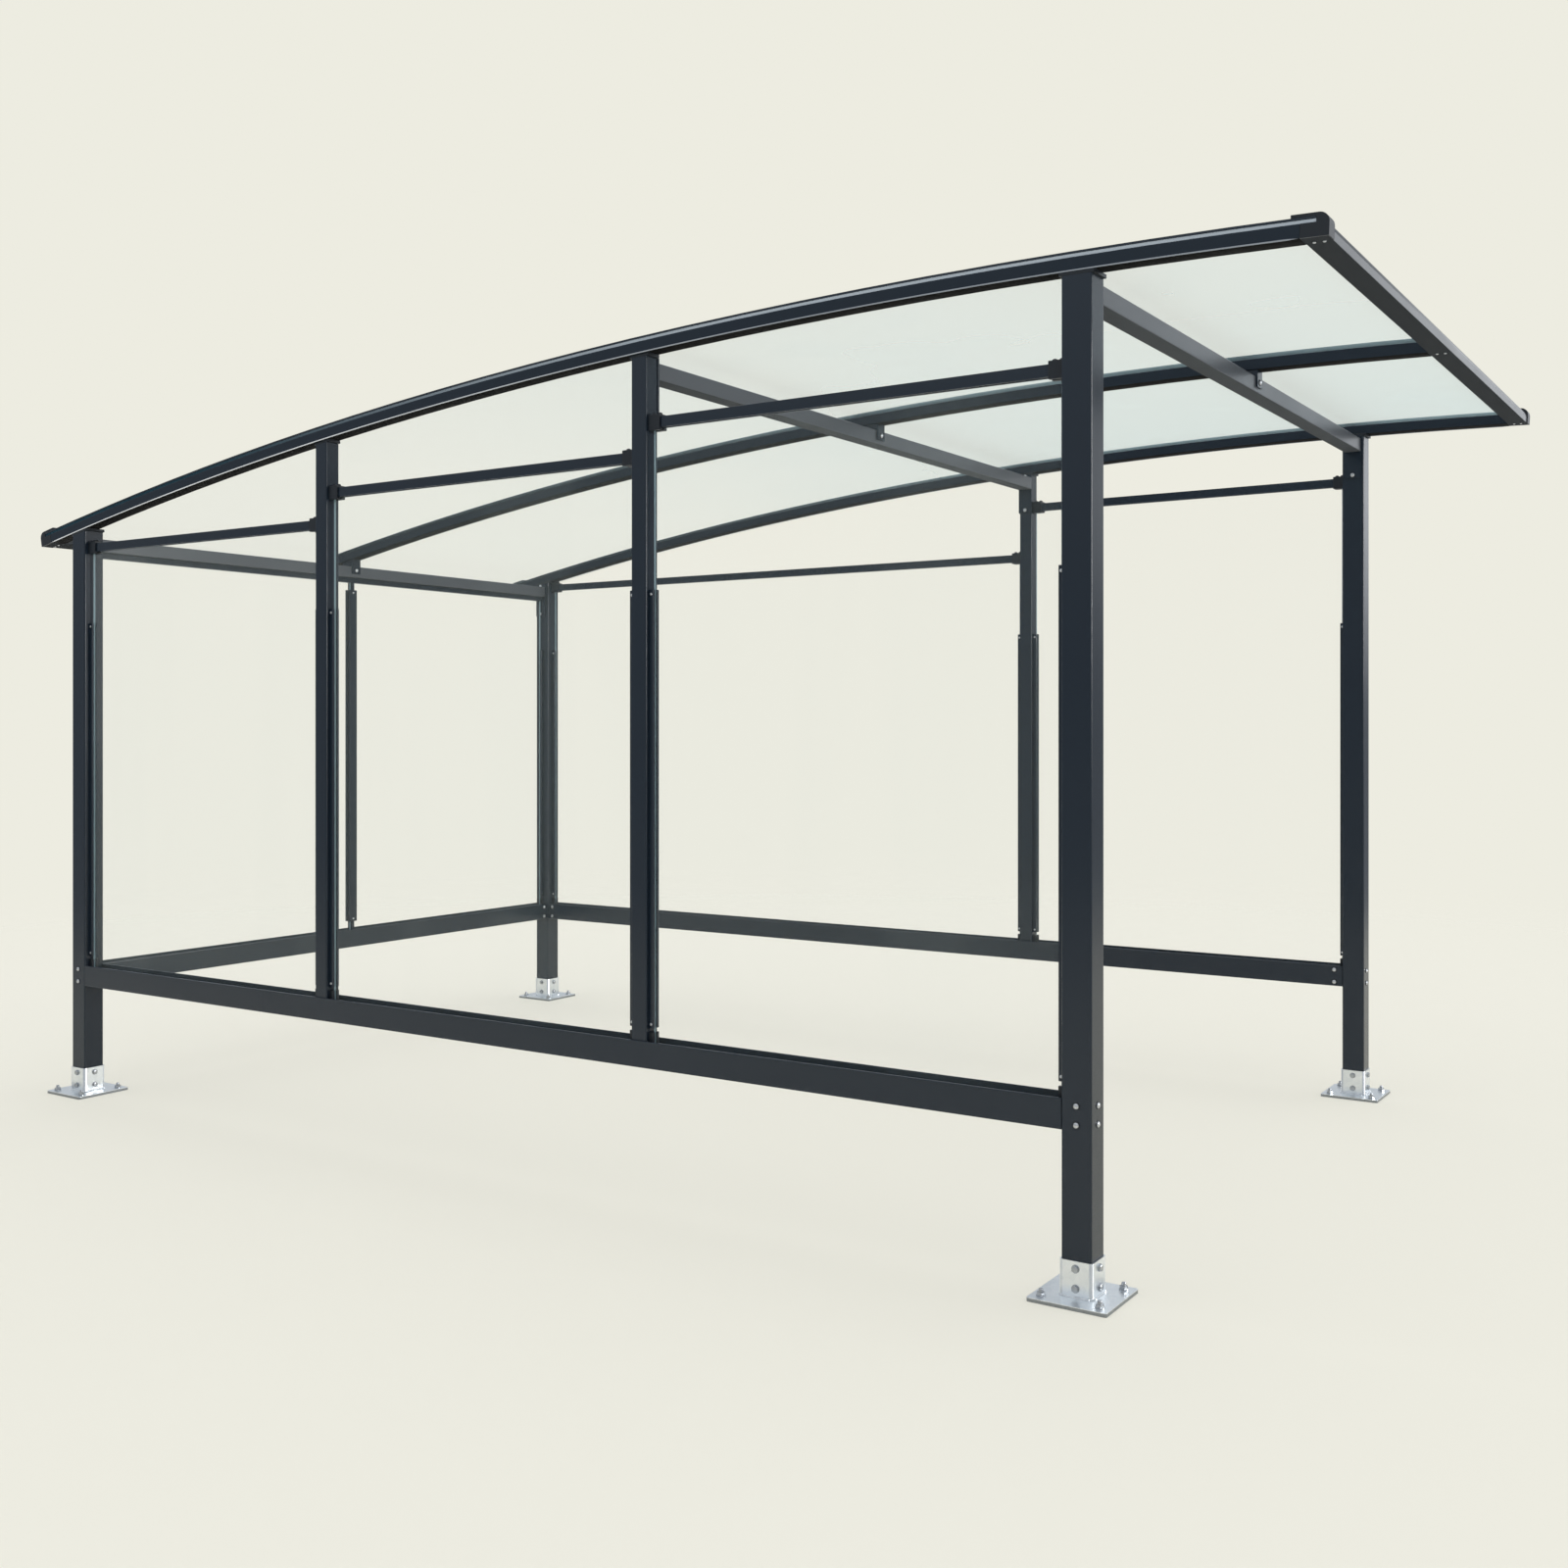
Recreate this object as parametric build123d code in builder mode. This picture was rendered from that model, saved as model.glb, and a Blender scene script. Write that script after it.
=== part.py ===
"""A shopping cart shelter: an open frame of square posts and rails with clear panes on three
sides, an open entrance, and an arched clear roof on three long beams.

Millimetres, +Z up. X runs along the shelter from the closed end to the entrance, Y from the
near long side to the far one. The origin is on the floor, under the middle of the roof.
"""
import os
from math import asin, cos, sin, sqrt

from build123d import *

os.makedirs("parts", exist_ok=True)

# Frame
frame_length = 4200
frame_width = 2730
post_size = 80
post_wall = 3
post_round = 5
mid_post_size = 55
mid_post_wall = 3
mid_post_round = 4
second_post_share = 1 / 3
third_post_share = 2 / 3

# Feet
foot_plate_size = 210
foot_plate_thickness = 10
foot_plate_round = 6
anchor_spacing = 154
anchor_hole_radius = 7
sleeve_height = 90
sleeve_wall = 4
sleeve_clearance = 0.5

# Lower rails
rail_top = 495
rail_height = 78
rail_depth = 80
rail_wall = 3
rail_round = 2
rail_lip = 6
gutter_depth = 16

# Panes and what holds them
pane_thickness = 8
pane_play = 1
pane_grip = 4
channel_share = 0.82
channel_foot_gap = 12
channel_block_height = 24
channel_reach = 16
channel_width = 28
channel_floor = 3
bar_height = 32
bar_width = 24
bar_slot_depth = 20
bar_drop_first = 75
bar_drop_second = 182
bar_drop_third = 206
bar_drop_far_long = 36
bar_drop_far_right = 150
clamp_length = 42
clamp_width = 36
clamp_height = 46
clamp_back = 3
mullion_width = 42
mullion_depth = 30
mullion_web = 12
mullion_neck = 34
head_channel_width = 26
head_channel_height = 22
head_slot_depth = 17

# Arched roof
arch_radius = 20700
arch_peak_height = 2536
arch_peak_inset = 290
roof_overhang_left = 210
roof_overhang_right = 570
beam_height = 33
beam_width = 60
beam_wall = 3
sheet_thickness = 8
sheet_setback = 2
strip_thickness = 6
strip_width = 46
end_bar_width = 66
end_bar_lip = 30
end_bar_wall = 3
end_bar_round = 20
end_bar_bore_round = 8
cap_thickness = 6
cap_wall = 3
cap_round = 24
cap_tongue_thickness = 7
cap_tongue_length = 88
post_cap_thickness = 10
post_cap_overhang = 7

# Crossbeams
crossbeam_width = 60
crossbeam_height = 50
crossbeam_wall = 3
crossbeam_round = 3
crossbeam_gap = 20
end_plate_thickness = 6
end_plate_height = 165
end_plate_rise_share = 0.7
bracket_width = 46
bracket_thickness = 6
bracket_leg = 34

# Fits
seat_gap = 0.3

# Places along and across the shelter
roof_length = roof_overhang_left + frame_length + roof_overhang_right
roof_left = -roof_length / 2
roof_right = roof_length / 2
frame_left = roof_left + roof_overhang_left
frame_right = frame_left + frame_length
near_face = -frame_width / 2
left_post_x = frame_left + post_size / 2
right_post_x = frame_right - post_size / 2
second_post_x = left_post_x + (right_post_x - left_post_x) * second_post_share
third_post_x = left_post_x + (right_post_x - left_post_x) * third_post_share
corner_y = near_face + post_size / 2
mid_inner = rail_lip + seat_gap + mid_post_size
glass_setback = mid_inner - mid_post_size / 2
glass_y = near_face + glass_setback
end_glass_x = frame_left + glass_setback
sides = {"near": 1, "far": -1}

# Heights
rail_bottom = rail_top - rail_height
gutter_floor = rail_top - gutter_depth
pane_bottom = gutter_floor + seat_gap
pane_slot = pane_thickness + 2 * pane_play
pane_inset = channel_reach - pane_grip
channel_bottom = rail_top + channel_block_height + channel_foot_gap
lip_top = beam_height + seat_gap + sheet_thickness
roof_depth = lip_top + seat_gap + strip_thickness

# The arch: every roof piece is a ring about one axis
arch_peak_x = frame_right - arch_peak_inset
arch_centre_z = arch_peak_height - arch_radius
outer_radius = arch_radius + beam_height
left_angle = asin((roof_left - arch_peak_x) / outer_radius)
right_angle = asin((roof_right - arch_peak_x) / outer_radius)
sheet_radius = arch_radius + beam_height + seat_gap
strip_radius = sheet_radius + sheet_thickness + seat_gap
post_cut_radius = arch_radius - post_cap_thickness - 2 * seat_gap


def underside(x):
    """Height of the beams' curved underside at a place along the shelter."""
    return arch_centre_z + sqrt(arch_radius**2 - (x - arch_peak_x) ** 2)


def arch_angle(x):
    """Angle from the arch's peak to a place along the shelter, on the beams' underside."""
    return asin((x - arch_peak_x) / arch_radius)


def arched_band(inner_radius, height, start_angle, end_angle):
    """Adds a length of the arch, cut square to its curve, to the sketch in hand."""
    reach = 2 * (inner_radius + height)
    with Locations((arch_peak_x, arch_centre_z)):
        Circle(inner_radius + height)
        Circle(inner_radius, mode=Mode.SUBTRACT)
    Polygon(
        (arch_peak_x, arch_centre_z),
        (arch_peak_x + reach * sin(end_angle), arch_centre_z + reach * cos(end_angle)),
        (arch_peak_x + reach * sin(start_angle), arch_centre_z + reach * cos(start_angle)),
        align=None,
        mode=Mode.INTERSECT,
    )


def tangent_plane(angle, y):
    """A plane across the roof's end: its first axis along the arch, its second square to it."""
    origin = (arch_peak_x + arch_radius * sin(angle), y, arch_centre_z + arch_radius * cos(angle))
    return Plane(origin=origin, x_dir=(cos(angle), 0, -sin(angle)), z_dir=(0, -1, 0))


def box_ring(width, height, wall, round_radius):
    """Adds the section of a box tube with rounded corners to the sketch in hand."""
    inner_round = round_radius / 2
    RectangleRounded(width, height, round_radius)
    RectangleRounded(width - 2 * wall, height - 2 * wall, inner_round, mode=Mode.SUBTRACT)


def over_post(x, size):
    """Adds the band that is cut from a post's top, so that its cap plate lies on the curve."""
    arched_band(post_cut_radius, size, arch_angle(x - size), arch_angle(x + size))


def post_height(x, size):
    """Length that reaches past the cap plate's underside over the whole of a post."""
    return max(underside(x - size / 2), underside(x + size / 2))


# Feet: a square base plate with four anchor holes and a sleeve that holds the post
corners = {
    "near_left": (left_post_x, corner_y),
    "near_right": (right_post_x, corner_y),
    "far_left": (left_post_x, -corner_y),
    "far_right": (right_post_x, -corner_y),
}
sleeve_outside = post_size + 2 * (sleeve_clearance + sleeve_wall)
for corner, (x, y) in corners.items():
    with BuildPart() as foot:
        with BuildSketch():
            with Locations((x, y)):
                RectangleRounded(foot_plate_size, foot_plate_size, foot_plate_round)
                with GridLocations(anchor_spacing, anchor_spacing, 2, 2):
                    Circle(anchor_hole_radius, mode=Mode.SUBTRACT)
        extrude(amount=foot_plate_thickness)
        with BuildSketch(Plane.XY.offset(foot_plate_thickness)):
            with Locations((x, y)):
                box_ring(sleeve_outside, sleeve_outside, sleeve_wall, post_round + sleeve_wall)
        extrude(amount=sleeve_height)
    label = f"foot_{corner}"
    foot.part.label = label
    export_step(foot.part, f"parts/{label}.step")

# Corner posts: square tubes from the base plates to the roof, cut to its curve
for corner, (x, y) in corners.items():
    with BuildPart() as corner_post:
        with BuildSketch(Plane.XY.offset(foot_plate_thickness)):
            with Locations((x, y)):
                box_ring(post_size, post_size, post_wall, post_round)
        extrude(amount=post_height(x, post_size) - foot_plate_thickness)
        with BuildSketch(Plane.XZ.offset(-y)):
            over_post(x, post_size)
        extrude(amount=post_size, both=True, mode=Mode.SUBTRACT)
    label = f"corner_post_{corner}"
    corner_post.part.label = label
    export_step(corner_post.part, f"parts/{label}.step")

# Slimmer posts that stand in the long rails' gutters
mid_posts = {
    "near_second_post": (second_post_x, glass_y),
    "near_third_post": (third_post_x, glass_y),
    "far_middle_post": (third_post_x, -glass_y),
}
for label, (x, y) in mid_posts.items():
    with BuildPart() as mid_post:
        with BuildSketch(Plane.XY.offset(gutter_floor)):
            with Locations((x, y)):
                box_ring(mid_post_size, mid_post_size, mid_post_wall, mid_post_round)
        extrude(amount=post_height(x, mid_post_size) - gutter_floor)
        with BuildSketch(Plane.XZ.offset(-y)):
            over_post(x, mid_post_size)
        extrude(amount=mid_post_size, both=True, mode=Mode.SUBTRACT)
    mid_post.part.label = label
    export_step(mid_post.part, f"parts/{label}.step")

# Black plates between the posts' tops and the beams, on the same curve
with BuildPart() as post_caps:
    cap_posts = [(x, y, post_size) for x, y in corners.values()]
    cap_posts += [(x, y, mid_post_size) for x, y in mid_posts.values()]
    for x, y, size in cap_posts:
        reach = size / 2 + post_cap_overhang
        with BuildSketch(Plane.XZ.offset(-y)):
            arched_band(
                post_cut_radius + seat_gap,
                post_cap_thickness,
                arch_angle(x - reach),
                arch_angle(x + reach),
            )
        extrude(amount=size / 2, both=True)
post_caps.part.label = "post_cap_plates"
export_step(post_caps.part, "parts/post_cap_plates.step")


def rail_section():
    """Adds a rail's section to the sketch in hand: a box with a gutter on top for posts and panes."""
    cavity_height = rail_height - gutter_depth - 2 * rail_wall
    with Locations((0, rail_bottom + rail_height / 2)):
        RectangleRounded(rail_depth, rail_height, rail_round)
    with Locations((0, rail_top)):
        Rectangle(rail_depth - 2 * rail_lip, 2 * gutter_depth, mode=Mode.SUBTRACT)
    with Locations((0, rail_bottom + rail_wall + cavity_height / 2)):
        Rectangle(rail_depth - 2 * rail_wall, cavity_height, mode=Mode.SUBTRACT)


# Lower rails along both long sides and across the closed end
for side, sign in sides.items():
    with BuildPart() as long_rail:
        rail_y = sign * (near_face + rail_depth / 2)
        rail_plane = Plane(origin=(frame_left + post_size, rail_y, 0), x_dir=(0, 1, 0), z_dir=(1, 0, 0))
        with BuildSketch(rail_plane):
            rail_section()
        extrude(amount=frame_length - 2 * post_size)
    label = f"{side}_rail"
    long_rail.part.label = label
    export_step(long_rail.part, f"parts/{label}.step")

with BuildPart() as end_rail:
    rail_plane = Plane(origin=(frame_left + rail_depth / 2, 0, 0), x_dir=(1, 0, 0), z_dir=(0, -1, 0))
    with BuildSketch(rail_plane):
        rail_section()
    extrude(amount=frame_width / 2 - post_size, both=True)
end_rail.part.label = "end_rail"
export_step(end_rail.part, "parts/end_rail.step")

# Arched beams: hollow boxes on the roof's curve, between the two end bars
beam_start = left_angle + (end_bar_width + seat_gap) / arch_radius
beam_end = right_angle - (end_bar_width + seat_gap) / arch_radius
beam_places = {"near": near_face + beam_width / 2, "middle": 0, "far": -near_face - beam_width / 2}
for place, y in beam_places.items():
    with BuildPart() as arched_beam:
        with BuildSketch(Plane.XZ.offset(-y)):
            arched_band(arch_radius, beam_height, beam_start, beam_end)
        extrude(amount=beam_width / 2, both=True)
        with BuildSketch(Plane.XZ.offset(-y)):
            arched_band(arch_radius + beam_wall, beam_height - 2 * beam_wall, left_angle, right_angle)
        extrude(amount=beam_width / 2 - beam_wall, both=True, mode=Mode.SUBTRACT)
    label = f"{place}_arched_beam"
    arched_beam.part.label = label
    export_step(arched_beam.part, f"parts/{label}.step")

# Clear roof sheets, laid on the beams and butted over the middle one
sheet_start = left_angle + (end_bar_lip + seat_gap) / arch_radius
sheet_end = right_angle - (end_bar_lip + seat_gap) / arch_radius
sheet_width = frame_width / 2 - 2 * sheet_setback
for side, sign in sides.items():
    with BuildPart() as roof_sheet:
        with BuildSketch(Plane.XZ.offset(sign * frame_width / 4)):
            arched_band(sheet_radius, sheet_thickness, sheet_start, sheet_end)
        extrude(amount=sheet_width / 2, both=True)
    label = f"{side}_roof_sheet"
    roof_sheet.part.label = label
    export_step(roof_sheet.part, f"parts/{label}.step")

# Cover strips that press the sheets down on the beams
strip_places = {"near": near_face + strip_width / 2, "middle": 0, "far": -near_face - strip_width / 2}
for place, y in strip_places.items():
    with BuildPart() as cover_strip:
        with BuildSketch(Plane.XZ.offset(-y)):
            arched_band(strip_radius, strip_thickness, sheet_start, sheet_end)
        extrude(amount=strip_width / 2, both=True)
    label = f"{place}_cover_strip"
    cover_strip.part.label = label
    export_step(cover_strip.part, f"parts/{label}.step")

# Bars across the roof's two ends: a round nose, and a rebate that takes the ends of the sheets
roof_ends = {"left": (left_angle, 1), "right": (right_angle, -1)}
for end, (angle, inward) in roof_ends.items():
    with BuildPart() as end_bar:
        with BuildSketch(tangent_plane(angle, 0)) as end_bar_section:
            with BuildLine():
                Polyline(
                    (inward * cap_wall, 0),
                    (inward * end_bar_width, 0),
                    (inward * end_bar_width, beam_height),
                    (inward * end_bar_lip, beam_height),
                    (inward * end_bar_lip, lip_top),
                    (inward * cap_wall, lip_top),
                    close=True,
                )
            make_face()
            nose = end_bar_section.vertices().sort_by_distance((inward * cap_wall, lip_top))[0]
            fillet(nose, end_bar_round)
            with Locations((inward * (cap_wall + end_bar_width) / 2, beam_height / 2)):
                RectangleRounded(
                    end_bar_width - cap_wall - 2 * end_bar_wall,
                    beam_height - 2 * end_bar_wall,
                    end_bar_bore_round,
                    mode=Mode.SUBTRACT,
                )
        extrude(amount=frame_width / 2 - cap_thickness, both=True)
    label = f"roof_end_bar_{end}"
    end_bar.part.label = label
    export_step(end_bar.part, f"parts/{label}.step")

# Black caps on the roof's four corners: an end plate, a wall round the end bar's nose and a tongue
# over the cover strip's end
tongue_low = roof_depth + seat_gap
tongue_top = tongue_low + cap_tongue_thickness


def cap_corners(inward):
    """Corner points of a roof cap's outline, from the end bar's underside to the tongue's tip."""
    return [
        (0, 0),
        (inward * end_bar_width, 0),
        (inward * end_bar_width, beam_height),
        (inward * end_bar_lip, beam_height),
        (inward * end_bar_lip, tongue_low),
        (inward * cap_tongue_length, tongue_low),
        (inward * cap_tongue_length, tongue_top),
        (0, tongue_top),
    ]


with BuildPart() as corner_caps:
    for angle, inward in roof_ends.values():
        for sign in sides.values():
            with BuildSketch(tangent_plane(angle, sign * near_face)) as cap_outline:
                with BuildLine():
                    Polyline(*cap_corners(inward), close=True)
                make_face()
                fillet(cap_outline.vertices().sort_by_distance((0, tongue_top))[0], cap_round)
            extrude(amount=-sign * cap_thickness)
            with BuildSketch(tangent_plane(angle, sign * near_face)) as tongue_outline:
                with BuildLine():
                    Polyline(*cap_corners(inward), close=True)
                make_face()
                fillet(tongue_outline.vertices().sort_by_distance((0, tongue_top))[0], cap_round)
                with Locations((inward * (cap_wall - seat_gap + cap_tongue_length), 0)):
                    RectangleRounded(
                        2 * cap_tongue_length,
                        2 * (lip_top + seat_gap),
                        end_bar_round + seat_gap,
                        mode=Mode.SUBTRACT,
                    )
            extrude(amount=-sign * strip_width)
corner_caps.part.label = "roof_corner_caps"
export_step(corner_caps.part, "parts/roof_corner_caps.step")

# Crossbeams: box tubes between the posts, just under the arched beams
crossbeams = {
    "left_crossbeam": (end_glass_x, post_size),
    "middle_crossbeam": (third_post_x, mid_inner),
    "right_crossbeam": (right_post_x, post_size),
}


def crossbeam_top(x):
    """Top of a crossbeam that clears the beams' underside over its whole width."""
    half = crossbeam_width / 2
    return min(underside(x - half), underside(x + half)) - crossbeam_gap


for label, (x, post) in crossbeams.items():
    with BuildPart() as crossbeam:
        middle = crossbeam_top(x) - crossbeam_height / 2
        with BuildSketch(Plane.XZ):
            with Locations((x, middle)):
                box_ring(crossbeam_width, crossbeam_height, crossbeam_wall, crossbeam_round)
        extrude(amount=frame_width / 2 - post - end_plate_thickness, both=True)
    crossbeam.part.label = label
    export_step(crossbeam.part, f"parts/{label}.step")

# Plates on the crossbeams' ends, bolted to the posts' inner faces
with BuildPart() as end_plates:
    for x, post in crossbeams.values():
        plate_top = crossbeam_top(x) + crossbeam_gap * end_plate_rise_share
        for sign in sides.values():
            plate_y = sign * (near_face + post + end_plate_thickness / 2)
            with Locations((x, plate_y, plate_top - end_plate_height / 2)):
                Box(crossbeam_width, end_plate_thickness, end_plate_height)
end_plates.part.label = "crossbeam_end_plates"
export_step(end_plates.part, "parts/crossbeam_end_plates.step")

# Brackets that seat the middle beam on the crossbeams: a pad on top and a leg down one side
with BuildPart() as brackets:
    for x, post in crossbeams.values():
        top = crossbeam_top(x)
        side_x = x + crossbeam_width / 2
        with BuildSketch(Plane.XZ):
            with BuildLine():
                Polyline(
                    (x - crossbeam_width / 2, top),
                    (side_x, top),
                    (side_x, top - bracket_leg),
                    (side_x + bracket_thickness, top - bracket_leg),
                    (side_x + bracket_thickness, top + 2 * crossbeam_gap),
                    (x - crossbeam_width / 2, top + 2 * crossbeam_gap),
                    close=True,
                )
            make_face()
        extrude(amount=bracket_width / 2, both=True)
    with BuildSketch(Plane.XZ):
        arched_band(arch_radius - seat_gap, beam_height, left_angle, right_angle)
    extrude(amount=bracket_width, both=True, mode=Mode.SUBTRACT)
brackets.part.label = "middle_beam_brackets"
export_step(brackets.part, "parts/middle_beam_brackets.step")

# Bays: the posts' facing sides and the height of the bar along the pane's top
left_inner = frame_left + post_size
right_inner = frame_right - post_size
half_mid = mid_post_size / 2
bays = {
    "near_left": (left_inner, second_post_x - half_mid, bar_drop_first, 1),
    "near_middle": (second_post_x + half_mid, third_post_x - half_mid, bar_drop_second, 1),
    "near_right": (third_post_x + half_mid, right_inner, bar_drop_third, 1),
    "far_long": (left_inner, third_post_x - half_mid, bar_drop_far_long, -1),
    "far_right": (third_post_x + half_mid, right_inner, bar_drop_far_right, -1),
}
lowest_bar = min(underside(start) - drop for start, end, drop, sign in bays.values())
channel_top = rail_top + (lowest_bar - rail_top) * channel_share

for bay, (start, end, drop, sign) in bays.items():
    bar_z = underside(start) - drop
    with BuildPart() as pane:
        pane_top = bar_z - bar_height / 2 + bar_slot_depth - pane_play
        with Locations(((start + end) / 2, sign * glass_y, (pane_bottom + pane_top) / 2)):
            Box(end - start - 2 * pane_inset, pane_thickness, pane_top - pane_bottom)
    label = f"{bay}_pane"
    pane.part.label = label
    export_step(pane.part, f"parts/{label}.step")

    with BuildPart() as top_bar:
        bar_start = start + clamp_back + seat_gap
        bar_end = end - clamp_back - seat_gap
        with BuildSketch(Plane.YZ.offset(bar_start)):
            with Locations((sign * glass_y, bar_z)):
                Rectangle(bar_width, bar_height)
            with Locations((sign * glass_y, bar_z - bar_height / 2)):
                Rectangle(pane_slot, 2 * bar_slot_depth, mode=Mode.SUBTRACT)
        extrude(amount=bar_end - bar_start)
    label = f"{bay}_top_bar"
    top_bar.part.label = label
    export_step(top_bar.part, f"parts/{label}.step")

# Black clamps that hold the top bars' ends against the posts
for side, side_sign in sides.items():
    with BuildPart() as clamps:
        for start, end, drop, sign in bays.values():
            if sign == side_sign:
                bar_z = underside(start) - drop
                for face, inward in ((start, 1), (end, -1)):
                    with BuildSketch(Plane.YZ.offset(face)):
                        with Locations((sign * glass_y, bar_z)):
                            Rectangle(clamp_width, clamp_height)
                    extrude(amount=inward * clamp_length)
                    with BuildSketch(Plane.YZ.offset(face + inward * clamp_back)):
                        with Locations((sign * glass_y, bar_z)):
                            Rectangle(bar_width + 2 * seat_gap, bar_height + 2 * seat_gap)
                        with Locations((sign * glass_y, bar_z - clamp_height / 2)):
                            Rectangle(pane_slot, clamp_height)
                    extrude(amount=inward * clamp_length, mode=Mode.SUBTRACT)
    label = f"{side}_bar_clamps"
    clamps.part.label = label
    export_step(clamps.part, f"parts/{label}.step")


def channel_section(face, inward, centre):
    """Adds a glazing channel's section to the sketch in hand: a U that opens along X."""
    with Locations((face + inward * channel_reach / 2, centre)):
        Rectangle(channel_reach, channel_width)
    with Locations((face + inward * (channel_reach + channel_floor) / 2, centre)):
        Rectangle(channel_reach - channel_floor, pane_slot, mode=Mode.SUBTRACT)


# Glazing channels screwed to the posts' sides, where the panes' edges stand
for side, side_sign in sides.items():
    with BuildPart() as channels:
        with BuildSketch(Plane.XY.offset(channel_bottom)):
            for start, end, drop, sign in bays.values():
                if sign == side_sign:
                    channel_section(start, 1, sign * glass_y)
                    channel_section(end, -1, sign * glass_y)
        extrude(amount=channel_top - channel_bottom)
    label = f"{side}_glazing_channels"
    channels.part.label = label
    export_step(channels.part, f"parts/{label}.step")

# Black blocks in the gutters, under the channels, that hold the panes' lower corners
end_half_width = frame_width / 2 - post_size
across = Plane(origin=(end_glass_x, 0, gutter_floor), x_dir=(0, 1, 0), z_dir=(0, 0, 1))
block_height = gutter_depth + channel_block_height
with BuildPart() as blocks:
    with BuildSketch(Plane.XY.offset(gutter_floor)):
        for start, end, drop, sign in bays.values():
            channel_section(start, 1, sign * glass_y)
            channel_section(end, -1, sign * glass_y)
    extrude(amount=block_height)
    with BuildSketch(across):
        for sign in sides.values():
            channel_section(-sign * end_half_width, sign, 0)
    extrude(amount=block_height)
blocks.part.label = "glazing_blocks"
export_step(blocks.part, "parts/glazing_blocks.step")

# The closed end: two panes, a mullion between them and a channel under the left crossbeam
head_bottom = crossbeam_top(end_glass_x) - crossbeam_height - head_channel_height
with BuildPart() as end_channels:
    with BuildSketch(across.offset(channel_bottom - gutter_floor)):
        for sign in sides.values():
            channel_section(-sign * end_half_width, sign, 0)
    extrude(amount=channel_top - channel_bottom)
end_channels.part.label = "end_glazing_channels"
export_step(end_channels.part, "parts/end_glazing_channels.step")

with BuildPart() as head_channel:
    with BuildSketch(Plane.XZ):
        with Locations((end_glass_x, head_bottom + head_channel_height / 2)):
            Rectangle(head_channel_width, head_channel_height)
        with Locations((end_glass_x, head_bottom)):
            Rectangle(pane_slot, 2 * head_slot_depth, mode=Mode.SUBTRACT)
    extrude(amount=end_half_width - end_plate_thickness, both=True)
head_channel.part.label = "end_head_channel"
export_step(head_channel.part, "parts/end_head_channel.step")

with BuildPart() as mullion:
    with BuildSketch(Plane.XY.offset(gutter_floor)):
        with Locations((end_glass_x, 0)):
            Rectangle(mullion_depth, mullion_web)
    extrude(amount=head_bottom - gutter_floor)
    with BuildSketch(Plane.XY.offset(rail_top + mullion_neck)):
        slot_depth = (mullion_width - mullion_web) / 2
        with Locations((end_glass_x, 0)):
            Rectangle(mullion_depth, mullion_width)
        with Locations(
            (end_glass_x, (mullion_web + slot_depth) / 2),
            (end_glass_x, -(mullion_web + slot_depth) / 2),
        ):
            Rectangle(pane_slot, slot_depth, mode=Mode.SUBTRACT)
    extrude(amount=head_bottom - rail_top - 2 * mullion_neck)
mullion.part.label = "end_mullion"
export_step(mullion.part, "parts/end_mullion.step")

end_pane_outer = end_half_width - max(pane_inset, end_plate_thickness + pane_play)
end_pane_inner = mullion_web / 2 + pane_play
end_pane_top = head_bottom + head_slot_depth - pane_play
for side, sign in sides.items():
    with BuildPart() as end_pane:
        middle_y = -sign * (end_pane_outer + end_pane_inner) / 2
        with Locations((end_glass_x, middle_y, (pane_bottom + end_pane_top) / 2)):
            Box(pane_thickness, end_pane_outer - end_pane_inner, end_pane_top - pane_bottom)
    label = f"end_{side}_pane"
    end_pane.part.label = label
    export_step(end_pane.part, f"parts/{label}.step")
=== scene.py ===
# %% [markdown]
# # Dressing a shopping cart shelter
# The CAD frame gives every post, rail, beam and pane its true size and place. This lesson adds what the
# camera needs on top: paint with a soft sheen, clear panes with pale blue edges, galvanised feet, and
# all the small bolts, screws and welds. Every added piece is one numpy surface that rides on the frame.

# %% Load the frame
import math

import bmesh
import bpy
import numpy as np
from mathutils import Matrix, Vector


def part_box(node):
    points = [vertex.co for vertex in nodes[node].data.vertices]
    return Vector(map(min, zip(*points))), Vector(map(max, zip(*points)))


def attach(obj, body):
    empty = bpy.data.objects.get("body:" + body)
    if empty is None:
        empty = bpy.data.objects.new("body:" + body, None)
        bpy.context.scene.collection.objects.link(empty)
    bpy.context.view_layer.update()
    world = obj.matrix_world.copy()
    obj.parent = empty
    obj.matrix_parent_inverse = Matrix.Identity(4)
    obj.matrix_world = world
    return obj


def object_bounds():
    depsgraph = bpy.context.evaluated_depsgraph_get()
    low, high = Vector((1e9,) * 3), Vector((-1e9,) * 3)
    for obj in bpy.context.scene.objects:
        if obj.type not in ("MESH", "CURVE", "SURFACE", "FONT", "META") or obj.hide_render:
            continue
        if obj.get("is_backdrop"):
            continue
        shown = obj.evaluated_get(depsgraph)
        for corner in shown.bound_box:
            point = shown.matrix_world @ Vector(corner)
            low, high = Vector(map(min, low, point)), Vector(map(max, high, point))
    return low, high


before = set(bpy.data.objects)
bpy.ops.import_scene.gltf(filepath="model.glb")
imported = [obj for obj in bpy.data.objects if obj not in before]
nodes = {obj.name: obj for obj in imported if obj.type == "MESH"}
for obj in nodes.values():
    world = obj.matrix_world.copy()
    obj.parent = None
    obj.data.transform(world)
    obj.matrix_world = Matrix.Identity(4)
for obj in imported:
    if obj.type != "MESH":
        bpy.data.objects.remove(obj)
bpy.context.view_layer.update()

# %% [markdown]
# ## Where the posts and bays are
# Most bolts and screws sit at places that follow from the posts. Those places could be typed in, or read
# from the boxes of the CAD nodes. They are read, so a change of size in the frame carries the bolts with
# it. A bay is the gap between two neighbouring posts, which one pane fills.

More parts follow.
